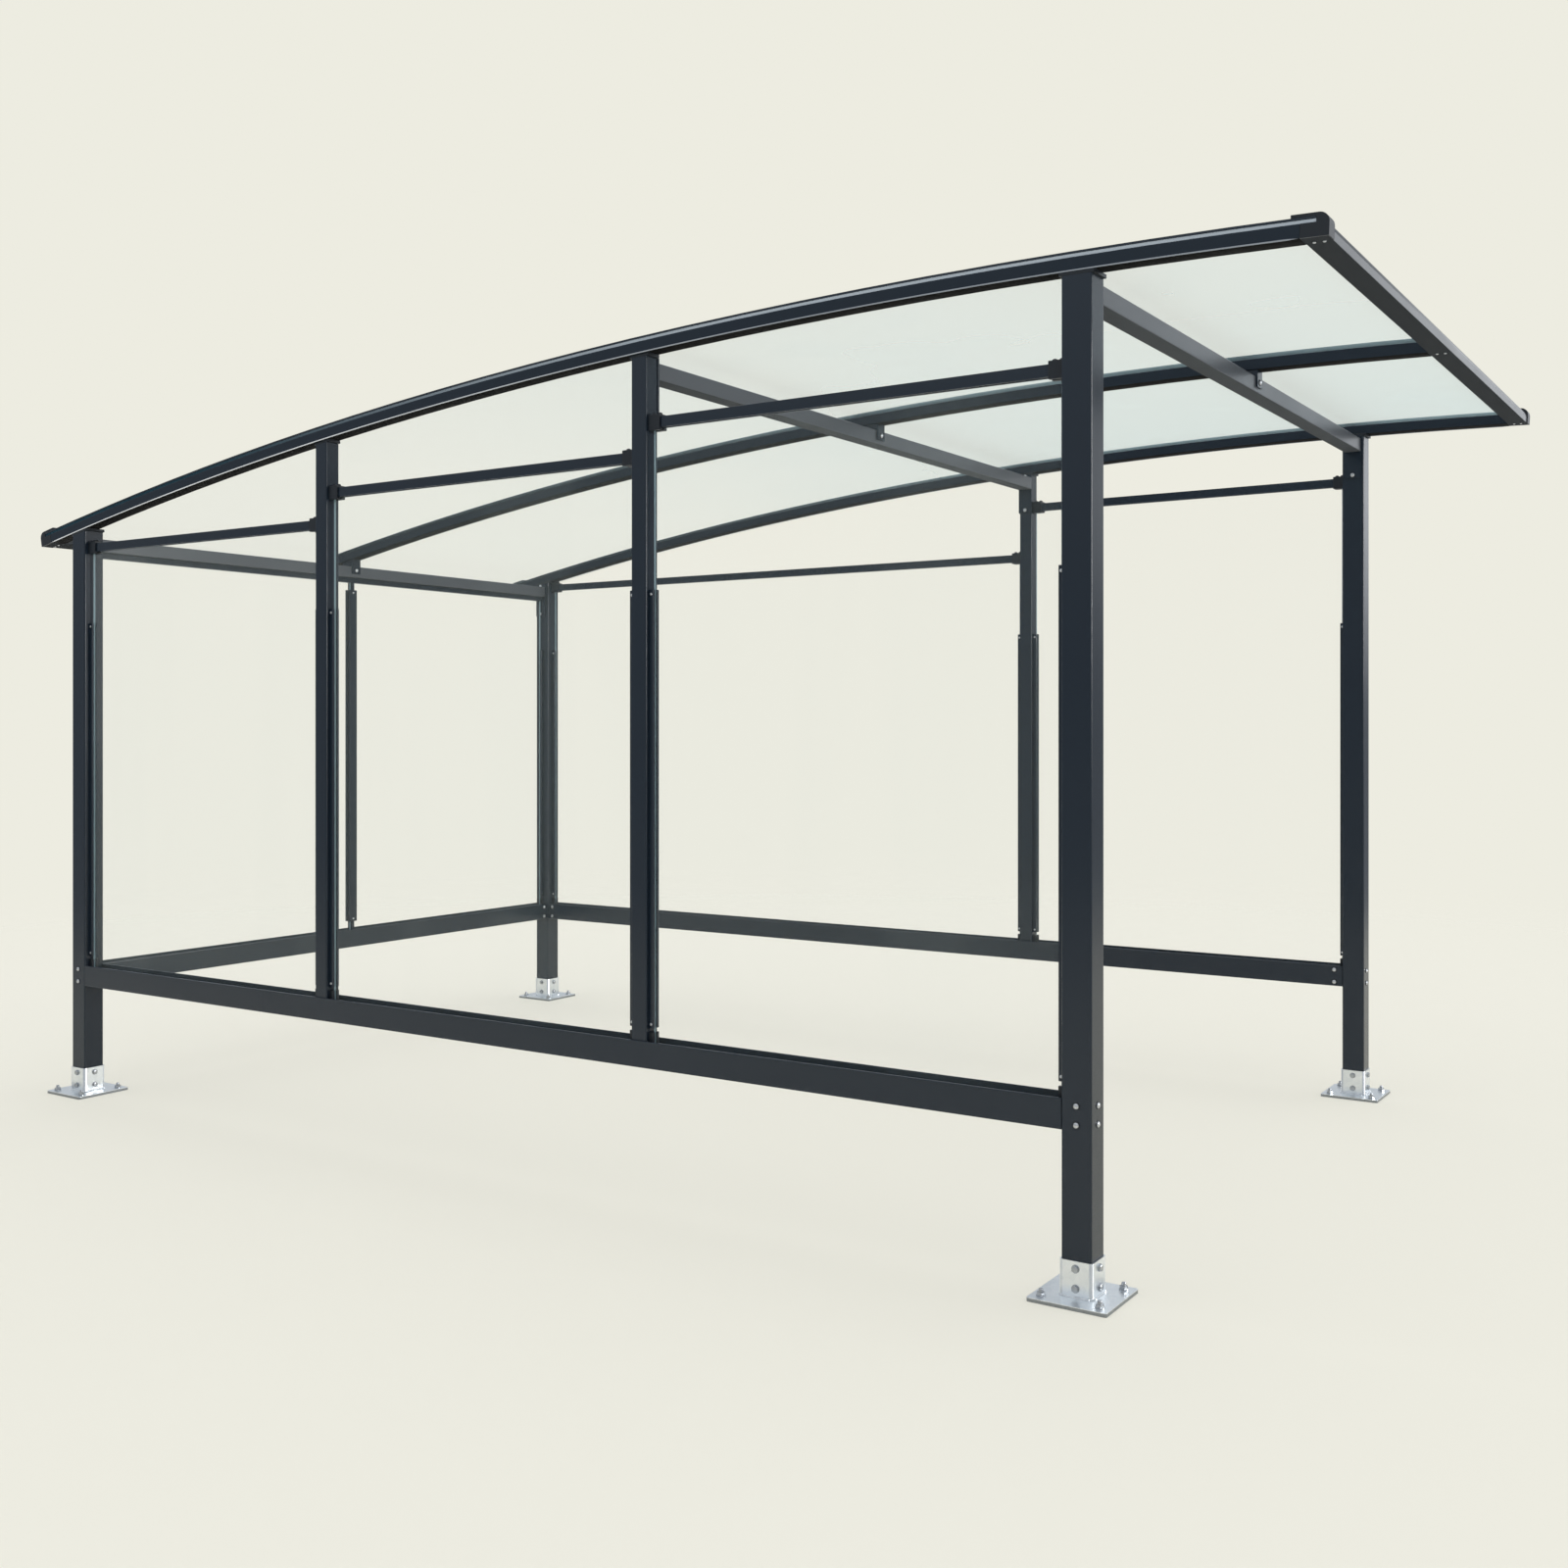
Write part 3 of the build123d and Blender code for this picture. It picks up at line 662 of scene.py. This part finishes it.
# %% [markdown]
# ## Anchors
# Each base plate is held to the ground by four anchors: a round washer, a hex nut and the end of a
# threaded stud. They could be three objects each, but nobody takes them apart here, so one profile runs
# over all three, and only the nut's two rows are stretched to a hexagon.

# %% Anchor nuts
UP = [0, 0, 1]
NUT_ROWS = (3, 4)
ANCHOR_HALF = 0.077
STUD_RADIUS = 0.0058
STUD_SHOULDER, STUD_TOP = 0.0175, 0.0190
STUD_TIP_RADIUS = 0.0048
ANCHOR_NUT_TOP = 0.0108


def nut_on_washer(washer_radius, washer_top, reach, shoulder, top_radius, top):
    """Profile of a washer and the nut on it, up to the nut's chamfered top; reach is to the nut's flats."""
    return [
        (0.0, 0.0), (washer_radius, 0.0), (washer_radius, washer_top),
        (reach, washer_top), (reach, shoulder), (top_radius, top),
    ]


feet = np.array([np.mean(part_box(f"foot_{corner}"), axis=0) * [1, 1, 0] for corner in corners])
anchor_profile = nut_on_washer(
    washer_radius=0.0120, washer_top=0.0022,
    reach=0.0098, shoulder=0.0095, top_radius=0.0086, top=ANCHOR_NUT_TOP,
)
anchor_profile += [
    (STUD_RADIUS, ANCHOR_NUT_TOP), (STUD_RADIUS, STUD_SHOULDER),
    (STUD_TIP_RADIUS, STUD_TOP), (0.0, STUD_TOP),
]
anchor_steps = np.array([[1, 1, 0], [-1, 1, 0], [-1, -1, 0], [1, -1, 0]]) * ANCHOR_HALF
anchor_places = (feet[:, None] + anchor_steps + [0, 0, PLATE_THICKNESS]).reshape(-1, 3)
anchors = copies(turned(anchor_profile, hexagon=NUT_ROWS), anchor_places, [UP] * len(anchor_places))
add_piece("anchor_nuts", anchors, dark_zinc)

# %% [markdown]
# ## Sleeve bolts
# A short square sleeve on each plate holds the post, with two bolts through each of its four faces. Their
# heads are the anchors' profile without the stud. To place so many by hand would be slow and easy to get
# wrong, so loops over feet, faces and heights list the places and the way each head looks.

# %% Sleeve bolts
SLEEVE_HEIGHT = 0.090
SLEEVE_HALF = 0.0445
SLEEVE_BOLT_SHARES = (0.25, 0.79)
SLEEVE_BOLT_TOP = 0.0072

sleeve_profile = nut_on_washer(
    washer_radius=0.0105, washer_top=0.0015,
    reach=0.0080, shoulder=0.0062, top_radius=0.0070, top=SLEEVE_BOLT_TOP,
)
sleeve_profile.append((0.0, SLEEVE_BOLT_TOP))
sleeve_places, sleeve_axes = [], []
for foot in feet:
    for axis in ([1, 0, 0], [-1, 0, 0], [0, 1, 0], [0, -1, 0]):
        for share in SLEEVE_BOLT_SHARES:
            height = PLATE_THICKNESS + SLEEVE_HEIGHT * share
            sleeve_places.append(foot + np.array(axis) * SLEEVE_HALF + [0, 0, height])
            sleeve_axes.append(axis)
sleeve_heads = copies(turned(sleeve_profile, hexagon=NUT_ROWS), sleeve_places, sleeve_axes)
add_piece("sleeve_bolts", sleeve_heads, dark_zinc)

# %% [markdown]
# ## Welds
# Where a sleeve stands on its plate, a weld bead runs round it with small even ripples. A torus would be
# round in plan and smooth. This bead follows a squared circle, and its thickness swells and shrinks along
# the way. The lower half of it lies inside the plate, so the seam at the plate is tight.

# %% Weld beads
WELD_CORNER = 0.009
WELD_RADIUS = 0.0038
SQUARING_POWER = 0.12
RIPPLES = 60
RIPPLE_DEPTH = 0.12


def weld_bead(half, corner, radius, around=240, rows=17):
    """For an angle a, outward is (cos a, sin a). The core is half less corner, times outward with each
    part raised to a small power and its sign kept, which squares the circle. The point is the core, plus
    corner + r cos v along outward, plus r sin v up, for v right round the bead. The thickness r is the
    radius times 1 + 0.12 sin 60 a."""
    angle = np.linspace(0, 2 * np.pi, around, endpoint=False)
    outward = np.stack([np.cos(angle), np.sin(angle)], 1)
    core = np.sign(outward) * np.abs(outward) ** SQUARING_POWER * (half - corner)
    v = np.linspace(0, 2 * np.pi, rows)
    size = radius * (1 + RIPPLE_DEPTH * np.sin(RIPPLES * angle))
    reach = corner + size[None, :] * np.cos(v)[:, None]
    rise = size[None, :] * np.sin(v)[:, None]
    points = np.concatenate([core[None] + outward[None] * reach[..., None], rise[..., None]], -1)
    return points.reshape(-1, 3), quads(rows, around)


weld_places = feet + [0, 0, PLATE_THICKNESS]
welds = copies(weld_bead(SLEEVE_HALF, WELD_CORNER, WELD_RADIUS), weld_places, [UP] * len(feet))
add_piece("sleeve_welds", welds, weld_zinc)

# %% [markdown]
# ## Where the frame bolts are
# Domed bolts hold the rails to the posts, the crossbeams to the posts' inner faces, and the small
# brackets to the crossbeams. All of them are alike, so their places and directions are first gathered in
# two lists, and the shapes are made once from both.

# %% Places on posts and rails
RAIL_BOLT_SHARES = np.array([0.20, 0.80])
RAIL_BOLT_INSET = 0.03
rail_low, rail_high = np.array(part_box("near_rail"))
rail_bolt_heights = rail_high[Z] - (rail_high[Z] - rail_low[Z]) * RAIL_BOLT_SHARES
bolt_places, bolt_axes = [], []


def bolt(place, axis):
    """Notes one bolt's place and the way it looks."""
    bolt_places.append(place)
    bolt_axes.append(axis)


for corner, (low, high) in posts.items():
    middle = (low + high) / 2
    face_y, out_y = (low[Y], -1) if "near" in corner else (high[Y], 1)
    face_x, out_x = (low[X], -1) if "left" in corner else (high[X], 1)
    for z in rail_bolt_heights:
        bolt([middle[X], face_y, z], [0, out_y, 0])
        bolt([face_x, middle[Y], z], [out_x, 0, 0])
for side, inner_face, inward in (("near", HIGH, 1), ("far", LOW, -1)):
    rail = np.array(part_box(f"{side}_rail"))
    for x in (rail[LOW, X] + RAIL_BOLT_INSET, rail[HIGH, X] - RAIL_BOLT_INSET):
        for z in rail_bolt_heights:
            bolt([x, rail[inner_face, Y], z], [0, inward, 0])
low, high = np.array(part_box("end_rail"))
for y in (low[Y] + RAIL_BOLT_INSET, high[Y] - RAIL_BOLT_INSET):
    for z in rail_bolt_heights:
        bolt([high[X], y, z], [1, 0, 0])
print("bolts at the rails:", len(bolt_places))

# %% [markdown]
# ## Crossbeam bolts
# A crossbeam ends in two plates, each with a bolt above the beam and one below it, and a bracket on its
# middle is held by one more. Their heights are measured from the beam's top, not from the ground, because
# the beams follow the arch and hang at different heights. They join the same two lists.

# %% Places on the crossbeams
UPPER_BOLT_RISE = 0.0065
LOWER_BOLT_DROP = 0.138
BRACKET_THICKNESS = 0.006
BRACKET_BOLT_DROP = 0.018

for place in ("left", "middle", "right"):
    low, high = np.array(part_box(f"{place}_crossbeam"))
    for y, inward in ((low[Y], 1), (high[Y], -1)):
        for z in (high[Z] + UPPER_BOLT_RISE, high[Z] - LOWER_BOLT_DROP):
            bolt([(low[X] + high[X]) / 2, y, z], [0, inward, 0])
    bolt([high[X] + BRACKET_THICKNESS, 0.0, high[Z] - BRACKET_BOLT_DROP], [1, 0, 0])
print("bolts on the frame:", len(bolt_places))

# %% [markdown]
# ## Bolts and their rings of painted shade
# Each bolt has a low domed head on a thin black ring shaped like a washer, which is painted shade: wider
# than the head, it shows as a dark ring round the bright zinc. Both could be one shape, but they take
# different materials, so they are two.

# %% Frame bolts
# The black ring under each bolt head is painted shade round the head.
SHADE_RING_RADIUS, SHADE_RING_TOP_RADIUS = 0.0098, 0.0092
SHADE_RING_SIDE, SHADE_RING_THICKNESS = 0.0008, 0.0013
BOLT_RADIUS, BOLT_HEIGHT = 0.0075, 0.0055

shade_ring_profile = [
    (0.0, 0.0), (SHADE_RING_RADIUS, 0.0), (SHADE_RING_RADIUS, SHADE_RING_SIDE),
    (SHADE_RING_TOP_RADIUS, SHADE_RING_THICKNESS), (0.0, SHADE_RING_THICKNESS),
]
shade_rings = copies(turned(shade_ring_profile), bolt_places, bolt_axes)
bolt_heads = copies(turned(dome(BOLT_RADIUS, BOLT_HEIGHT)), bolt_places, bolt_axes)
add_piece("bolt_shade_rings", shade_rings, black_plastic)
add_piece("frame_bolts", bolt_heads, bright_zinc)

# %% [markdown]
# ## Screws and lugs on the bays
# Small screws close the glazing channels near both ends, on both faces, and black lugs stand on the
# clamps that hold each bay's top bar. They follow from the bay's two walls, so one loop over the bays
# finds both.

# %% Places on the bays
SCREW_ABOVE_FOOT, SCREW_BELOW_TOP = 0.012, 0.014
SCREW_FROM_POST = 0.008
LUGS_FROM_POST = (0.011, 0.031)
LUG_RISE = 0.023

channel_low, channel_high = np.array(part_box("near_glazing_channels"))
channel_half = (channel_high[Y] - channel_low[Y]) / 2
screw_heights = (channel_low[Z] + SCREW_ABOVE_FOOT, channel_high[Z] - SCREW_BELOW_TOP)
screw_places, screw_axes, lug_places = [], [], []
for bay, (start, end) in bay_walls.items():
    pane_y = np.mean(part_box(f"{bay}_pane"), axis=0)[Y]
    lug_z = np.mean(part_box(f"{bay}_top_bar"), axis=0)[Z] + LUG_RISE
    for wall, inward in ((start, 1), (end, -1)):
        for z in screw_heights:
            for out in (1, -1):
                screw_places.append([wall + inward * SCREW_FROM_POST, pane_y + out * channel_half, z])
                screw_axes.append([0, out, 0])
        lug_places += [[wall + inward * step, pane_y, lug_z] for step in LUGS_FROM_POST]
print("screws on the bays:", len(screw_places), "lugs:", len(lug_places))

# %% [markdown]
# ## The roof's arch
# The roof is part of a ring, so a place on it could be looked up in the mesh, or worked out from the
# ring's radius and peak, which the CAD states and which are repeated here. The second is exact and short.
# The angle is measured at the ring's centre, from the peak, and grows towards the open end.

# %% Arch
ARCH_RADIUS = 20.7
ARCH_PEAK_HEIGHT = 2.536
ARCH_PEAK_INSET = 0.290
arch_peak_x = posts["near_right"][HIGH, X] - ARCH_PEAK_INSET
arch_centre_z = ARCH_PEAK_HEIGHT - ARCH_RADIUS


def arch_angle(x):
    """The angle on the arch at a given X: the arc sine of its distance from the peak over the radius."""
    return math.asin((x - arch_peak_x) / ARCH_RADIUS)


print("the arch peaks at x =", round(float(arch_peak_x), 3))

# %% [markdown]
# ## Screws on the mullion and under the roof
# The mullion of the closed end has a screw near its foot and its top on both faces. The end bars of the
# roof have pairs of screws in their undersides, at both ends and in the middle, which look along the
# arch's own radius, not straight down. They join the bays' screws in the same two lists.

# %% Places on the mullion and the end bars
MULLION_SCREW_RISE, MULLION_SCREW_DROP = 0.062, 0.046
END_BAR_SCREW_STEPS = (0.020, 0.043)
END_BAR_SCREW_INSET = 0.040

low, high = np.array(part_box("end_mullion"))
for z in (low[Z] + MULLION_SCREW_RISE, high[Z] - MULLION_SCREW_DROP):
    for x, out in ((high[X], 1), (low[X], -1)):
        screw_places.append([x, 0.0, z])
        screw_axes.append([out, 0, 0])
for end, outer, inward in (("left", LOW, 1), ("right", HIGH, -1)):
    end_bar = np.array(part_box(f"roof_end_bar_{end}"))
    for step in END_BAR_SCREW_STEPS:
        x = end_bar[outer, X] + inward * step
        angle = arch_angle(x)
        height = arch_centre_z + ARCH_RADIUS * math.cos(angle)
        for y in (end_bar[LOW, Y] + END_BAR_SCREW_INSET, 0.0, end_bar[HIGH, Y] - END_BAR_SCREW_INSET):
            screw_places.append([x, y, height])
            screw_axes.append([-math.sin(angle), 0, -math.cos(angle)])
print("screws in all:", len(screw_places))

# %% [markdown]
# ## Screws and lugs
# Both are small domes. They could have slots and threads, but nobody comes close enough to see them, so
# the bolts' profile serves again with other sizes, and with fewer columns than a bolt has.

# %% Glazing screws and clamp lugs
SCREW_RADIUS, SCREW_HEIGHT, SCREW_COLUMNS = 0.0042, 0.003, 16
LUG_RADIUS, LUG_HEIGHT, LUG_COLUMNS = 0.0075, 0.007, 20

screw_shape = turned(dome(SCREW_RADIUS, SCREW_HEIGHT), SCREW_COLUMNS)
lug_shape = turned(dome(LUG_RADIUS, LUG_HEIGHT), LUG_COLUMNS)
add_piece("glazing_screws", copies(screw_shape, screw_places, screw_axes), bright_zinc)
lugs = copies(lug_shape, lug_places, [UP] * len(lug_places))
add_piece("clamp_lugs", lugs, black_plastic)

# %% [markdown]
# ## A painted glint under the side beams
# A thin pale bead runs along the lower outer edge of both side beams, as a painted highlight for the light
# that edge catches. A curve with a bevel would give it too, and would then have to be made a mesh. As a
# round profile carried along the arch it is a mesh from the start, and needs only the arch and the two
# ends of the beam.

# %% Painted glint beads
BEAD_RADIUS = 0.0018
BEAD_INSET = 0.002


def arched_bead(low_x, high_x, y, radius, along=180, around=10):
    """For an angle a along the arch and v round the bead, the path is the arch's centre plus R sin a in X
    and R cos a in Z. The point adds r sin v to R and r cos v to Y, and r is 0 at both ends, so that they
    close to a point."""
    angle = np.linspace(arch_angle(low_x), arch_angle(high_x), along)
    v = np.linspace(0, 2 * np.pi, around, endpoint=False)
    size = np.full((along, 1), radius)
    size[[0, -1]] = 0.0
    reach = ARCH_RADIUS + size * np.sin(v)
    x = arch_peak_x + reach * np.sin(angle)[:, None]
    z = arch_centre_z + reach * np.cos(angle)[:, None]
    return np.stack([x, y + size * np.cos(v), z], -1).reshape(-1, 3), quads(along, around)


# Each bead is a painted highlight: the pale line stands for the glint on the beam's lower edge.
for side, outer in (("near", LOW), ("far", HIGH)):
    beam = np.array(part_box(f"{side}_arched_beam"))
    bead_ends = beam[LOW, X] + BEAD_INSET, beam[HIGH, X] - BEAD_INSET
    bead = arched_bead(*bead_ends, beam[outer, Y], BEAD_RADIUS)
    add_piece(f"{side}_beam_painted_glint", bead, painted_glint_trim)

# %% [markdown]
# ## Floor
# The shelter stands on a pale floor without a horizon. A plane with a hard end would show a line, so the
# floor is a disc that fades to nothing far out, where the background has the same colour. For the camera
# it also glows a little in that colour, which keeps the shadows soft and pale.

# %% Studio floor
BACKGROUND = (0.847, 0.839, 0.752)
FLOOR_COLOUR = (0.831, 0.821, 0.738)
FLOOR_ROUGHNESS, FLOOR_GLOSS = 0.9, 0.1
FLOOR_RADIUS = 10.0
FLOOR_FADE_START = 4.5
FLOOR_GLOW = 0.45


def floor_material():
    """Matt floor, lifted towards the background for the camera, and see-through with distance."""
    material, tree, shader = new_material("studio_floor")
    matt = {"Base Color": FLOOR_COLOUR, "Roughness": FLOOR_ROUGHNESS, "Specular IOR Level": FLOOR_GLOSS}
    feed(tree, shader, matt)
    glow = add_node(tree, "ShaderNodeEmission", {"Color": BACKGROUND}).outputs[0]
    by_eye = add_node(tree, "ShaderNodeLightPath").outputs["Is Camera Ray"]
    lift = calculate(tree, "MULTIPLY", by_eye, FLOOR_GLOW)
    lifted = add_node(tree, "ShaderNodeMixShader", {0: lift, 1: shader.outputs[0], 2: glow}).outputs[0]
    distance = add_node(tree, "ShaderNodeVectorMath", {0: own_place(tree)}, operation="LENGTH")
    fade = smooth_rise(tree, distance.outputs["Value"], FLOOR_FADE_START, FLOOR_RADIUS)
    nothing = add_node(tree, "ShaderNodeBsdfTransparent").outputs[0]
    faded = add_node(tree, "ShaderNodeMixShader", {0: fade, 1: lifted, 2: nothing}).outputs[0]
    feed(tree, tree.nodes["Material Output"], {"Surface": faded})
    return material


def studio_floor(rows=40, columns=64):
    """A disc: each point is (R s cos a, R s sin a, 0) for a share s of the radius and an angle a."""
    reach = FLOOR_RADIUS * np.linspace(0, 1, rows)[:, None]
    angle = np.linspace(0, 2 * np.pi, columns, endpoint=False)
    level = np.zeros((rows, columns))
    points = np.stack([reach * np.cos(angle), reach * np.sin(angle), level], -1).reshape(-1, 3)
    mesh = bpy.data.meshes.new("floor")
    mesh.from_pydata(points.tolist(), [], quads(rows, columns).tolist())
    mesh.materials.append(floor_material())
    floor = bpy.data.objects.new("floor", mesh)
    bpy.context.scene.collection.objects.link(floor)
    floor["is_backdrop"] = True
    return floor


print("floor:", len(studio_floor().data.polygons), "faces")

# %% [markdown]
# ## Lights
# A very broad sun from overhead gives the soft shadow on the floor. Far off to the right stands a large
# panel that shows in reflections only: on a post's rounded edge it becomes the thin bright line that
# makes dark tube look like metal, and it leaves the flat faces dark.

# %% Sun and side panel
SUN_ENERGY = 0.25
SUN_SPREAD = math.radians(50)
SUN_TILT = (math.radians(-18), math.radians(6), 0.0)
EDGE_LIGHT_PLACE = np.array([12.9, 3.7, 3.6])
EDGE_LIGHT_TARGET = np.array([2.1, -0.7, 2.0])
EDGE_LIGHT_SIZE = (4.2, 3.2)
EDGE_LIGHT_POWER = 1000


def add_light(name, kind, power, rotation):
    """A light of a kind and power, turned as given, as (light object, light data)."""
    data = bpy.data.lights.new(name, kind)
    data.energy = power
    light = bpy.data.objects.new(name, data)
    light.rotation_euler = rotation
    bpy.context.scene.collection.objects.link(light)
    return light, data


aim = EDGE_LIGHT_TARGET - EDGE_LIGHT_PLACE
yaw = math.atan2(-aim[X], aim[Y])
pitch = math.atan2(aim[Z], math.hypot(aim[X], aim[Y]))
edge_light, edge_panel = add_light("edge", "AREA", EDGE_LIGHT_POWER, (math.pi / 2 + pitch, 0.0, yaw))
edge_panel.shape = "RECTANGLE"
edge_panel.size, edge_panel.size_y = EDGE_LIGHT_SIZE
edge_light.location = EDGE_LIGHT_PLACE
edge_light.visible_camera = False
edge_light.visible_diffuse = False
_, sun = add_light("overhead", "SUN", SUN_ENERGY, SUN_TILT)
sun.angle = SUN_SPREAD
print("lights:", [light.name for light in bpy.data.lights])

# %% [markdown]
# ## Surroundings
# The world is what the camera sees behind the shelter, what lights it from all sides, and what its paint
# reflects. One colour can't do all three: paint that reflects a pale world turns grey. So the kind of ray
# chooses: the camera sees the plain background, diffuse light is nearly white, and reflections see darker
# walls, with a small bright panel behind the open end that draws the line along the end bar's nose.

# %% World
SOFT_LIGHT = (0.98, 0.98, 0.98)
WALLS_LEVEL = (0.26, 0.28, 0.31)
WALLS_STEEP = (0.80, 0.84, 0.88)
WALLS_RISE = (0.02, 0.50)
PANEL_COLOUR = (1.70, 1.76, 1.84)
PANEL_DIRECTION = (0.185, 0.960, 0.212)
PANEL_RIM, PANEL_CORE = math.radians(12), math.radians(5)

world = bpy.data.worlds.new("studio")
bpy.context.scene.world = world
world.use_nodes = True
sky = world.node_tree
rays = add_node(sky, "ShaderNodeLightPath").outputs
direction = add_node(sky, "ShaderNodeTexCoord").outputs["Generated"]
steepness = calculate(sky, "ABSOLUTE", add_node(sky, "ShaderNodeSeparateXYZ", {0: direction}).outputs["Z"])
walls = mix_colours(sky, smooth_rise(sky, steepness, *WALLS_RISE), WALLS_LEVEL, WALLS_STEEP)
towards = add_node(sky, "ShaderNodeVectorMath", {0: direction, 1: PANEL_DIRECTION}, operation="DOT_PRODUCT")
in_panel = smooth_rise(sky, towards.outputs["Value"], math.cos(PANEL_RIM), math.cos(PANEL_CORE))
reflected = mix_colours(sky, in_panel, walls, PANEL_COLOUR)
by_eye = calculate(sky, "MAXIMUM", rays["Is Camera Ray"], rays["Is Transmission Ray"])
seen_or_lit = mix_colours(sky, by_eye, SOFT_LIGHT, BACKGROUND)
surround = mix_colours(sky, rays["Is Glossy Ray"], seen_or_lit, reflected)
feed(sky, sky.nodes["Background"], {"Color": surround})
print("world nodes:", len(sky.nodes))

# %% [markdown]
# ## Camera
# The camera stands low, a little to the right of the open end, and is held level, so upright posts stay
# upright in the picture. Tilting it up would make them lean. The view is shifted instead, as on a view
# camera.

# %% Camera
CAMERA_PLACE = (3.466, -5.075, 1.408)
CAMERA_TURN = math.radians(33.39)
LENS, SENSOR_WIDTH = 37.117, 36.0
VIEW_SHIFT = -0.0355

camera_data = bpy.data.cameras.new("camera")
camera_data.sensor_width = SENSOR_WIDTH
camera_data.lens = LENS
camera_data.shift_y = VIEW_SHIFT
camera = bpy.data.objects.new("camera", camera_data)
camera.location = CAMERA_PLACE
camera.rotation_euler = (math.pi / 2, 0.0, CAMERA_TURN)
bpy.context.scene.collection.objects.link(camera)
bpy.context.scene.camera = camera
bpy.context.scene.view_settings.view_transform = "Standard"
print("camera at", tuple(camera.location))

# %% Sizes and finish
low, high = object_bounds()
print("visual box:", tuple(low), tuple(high))
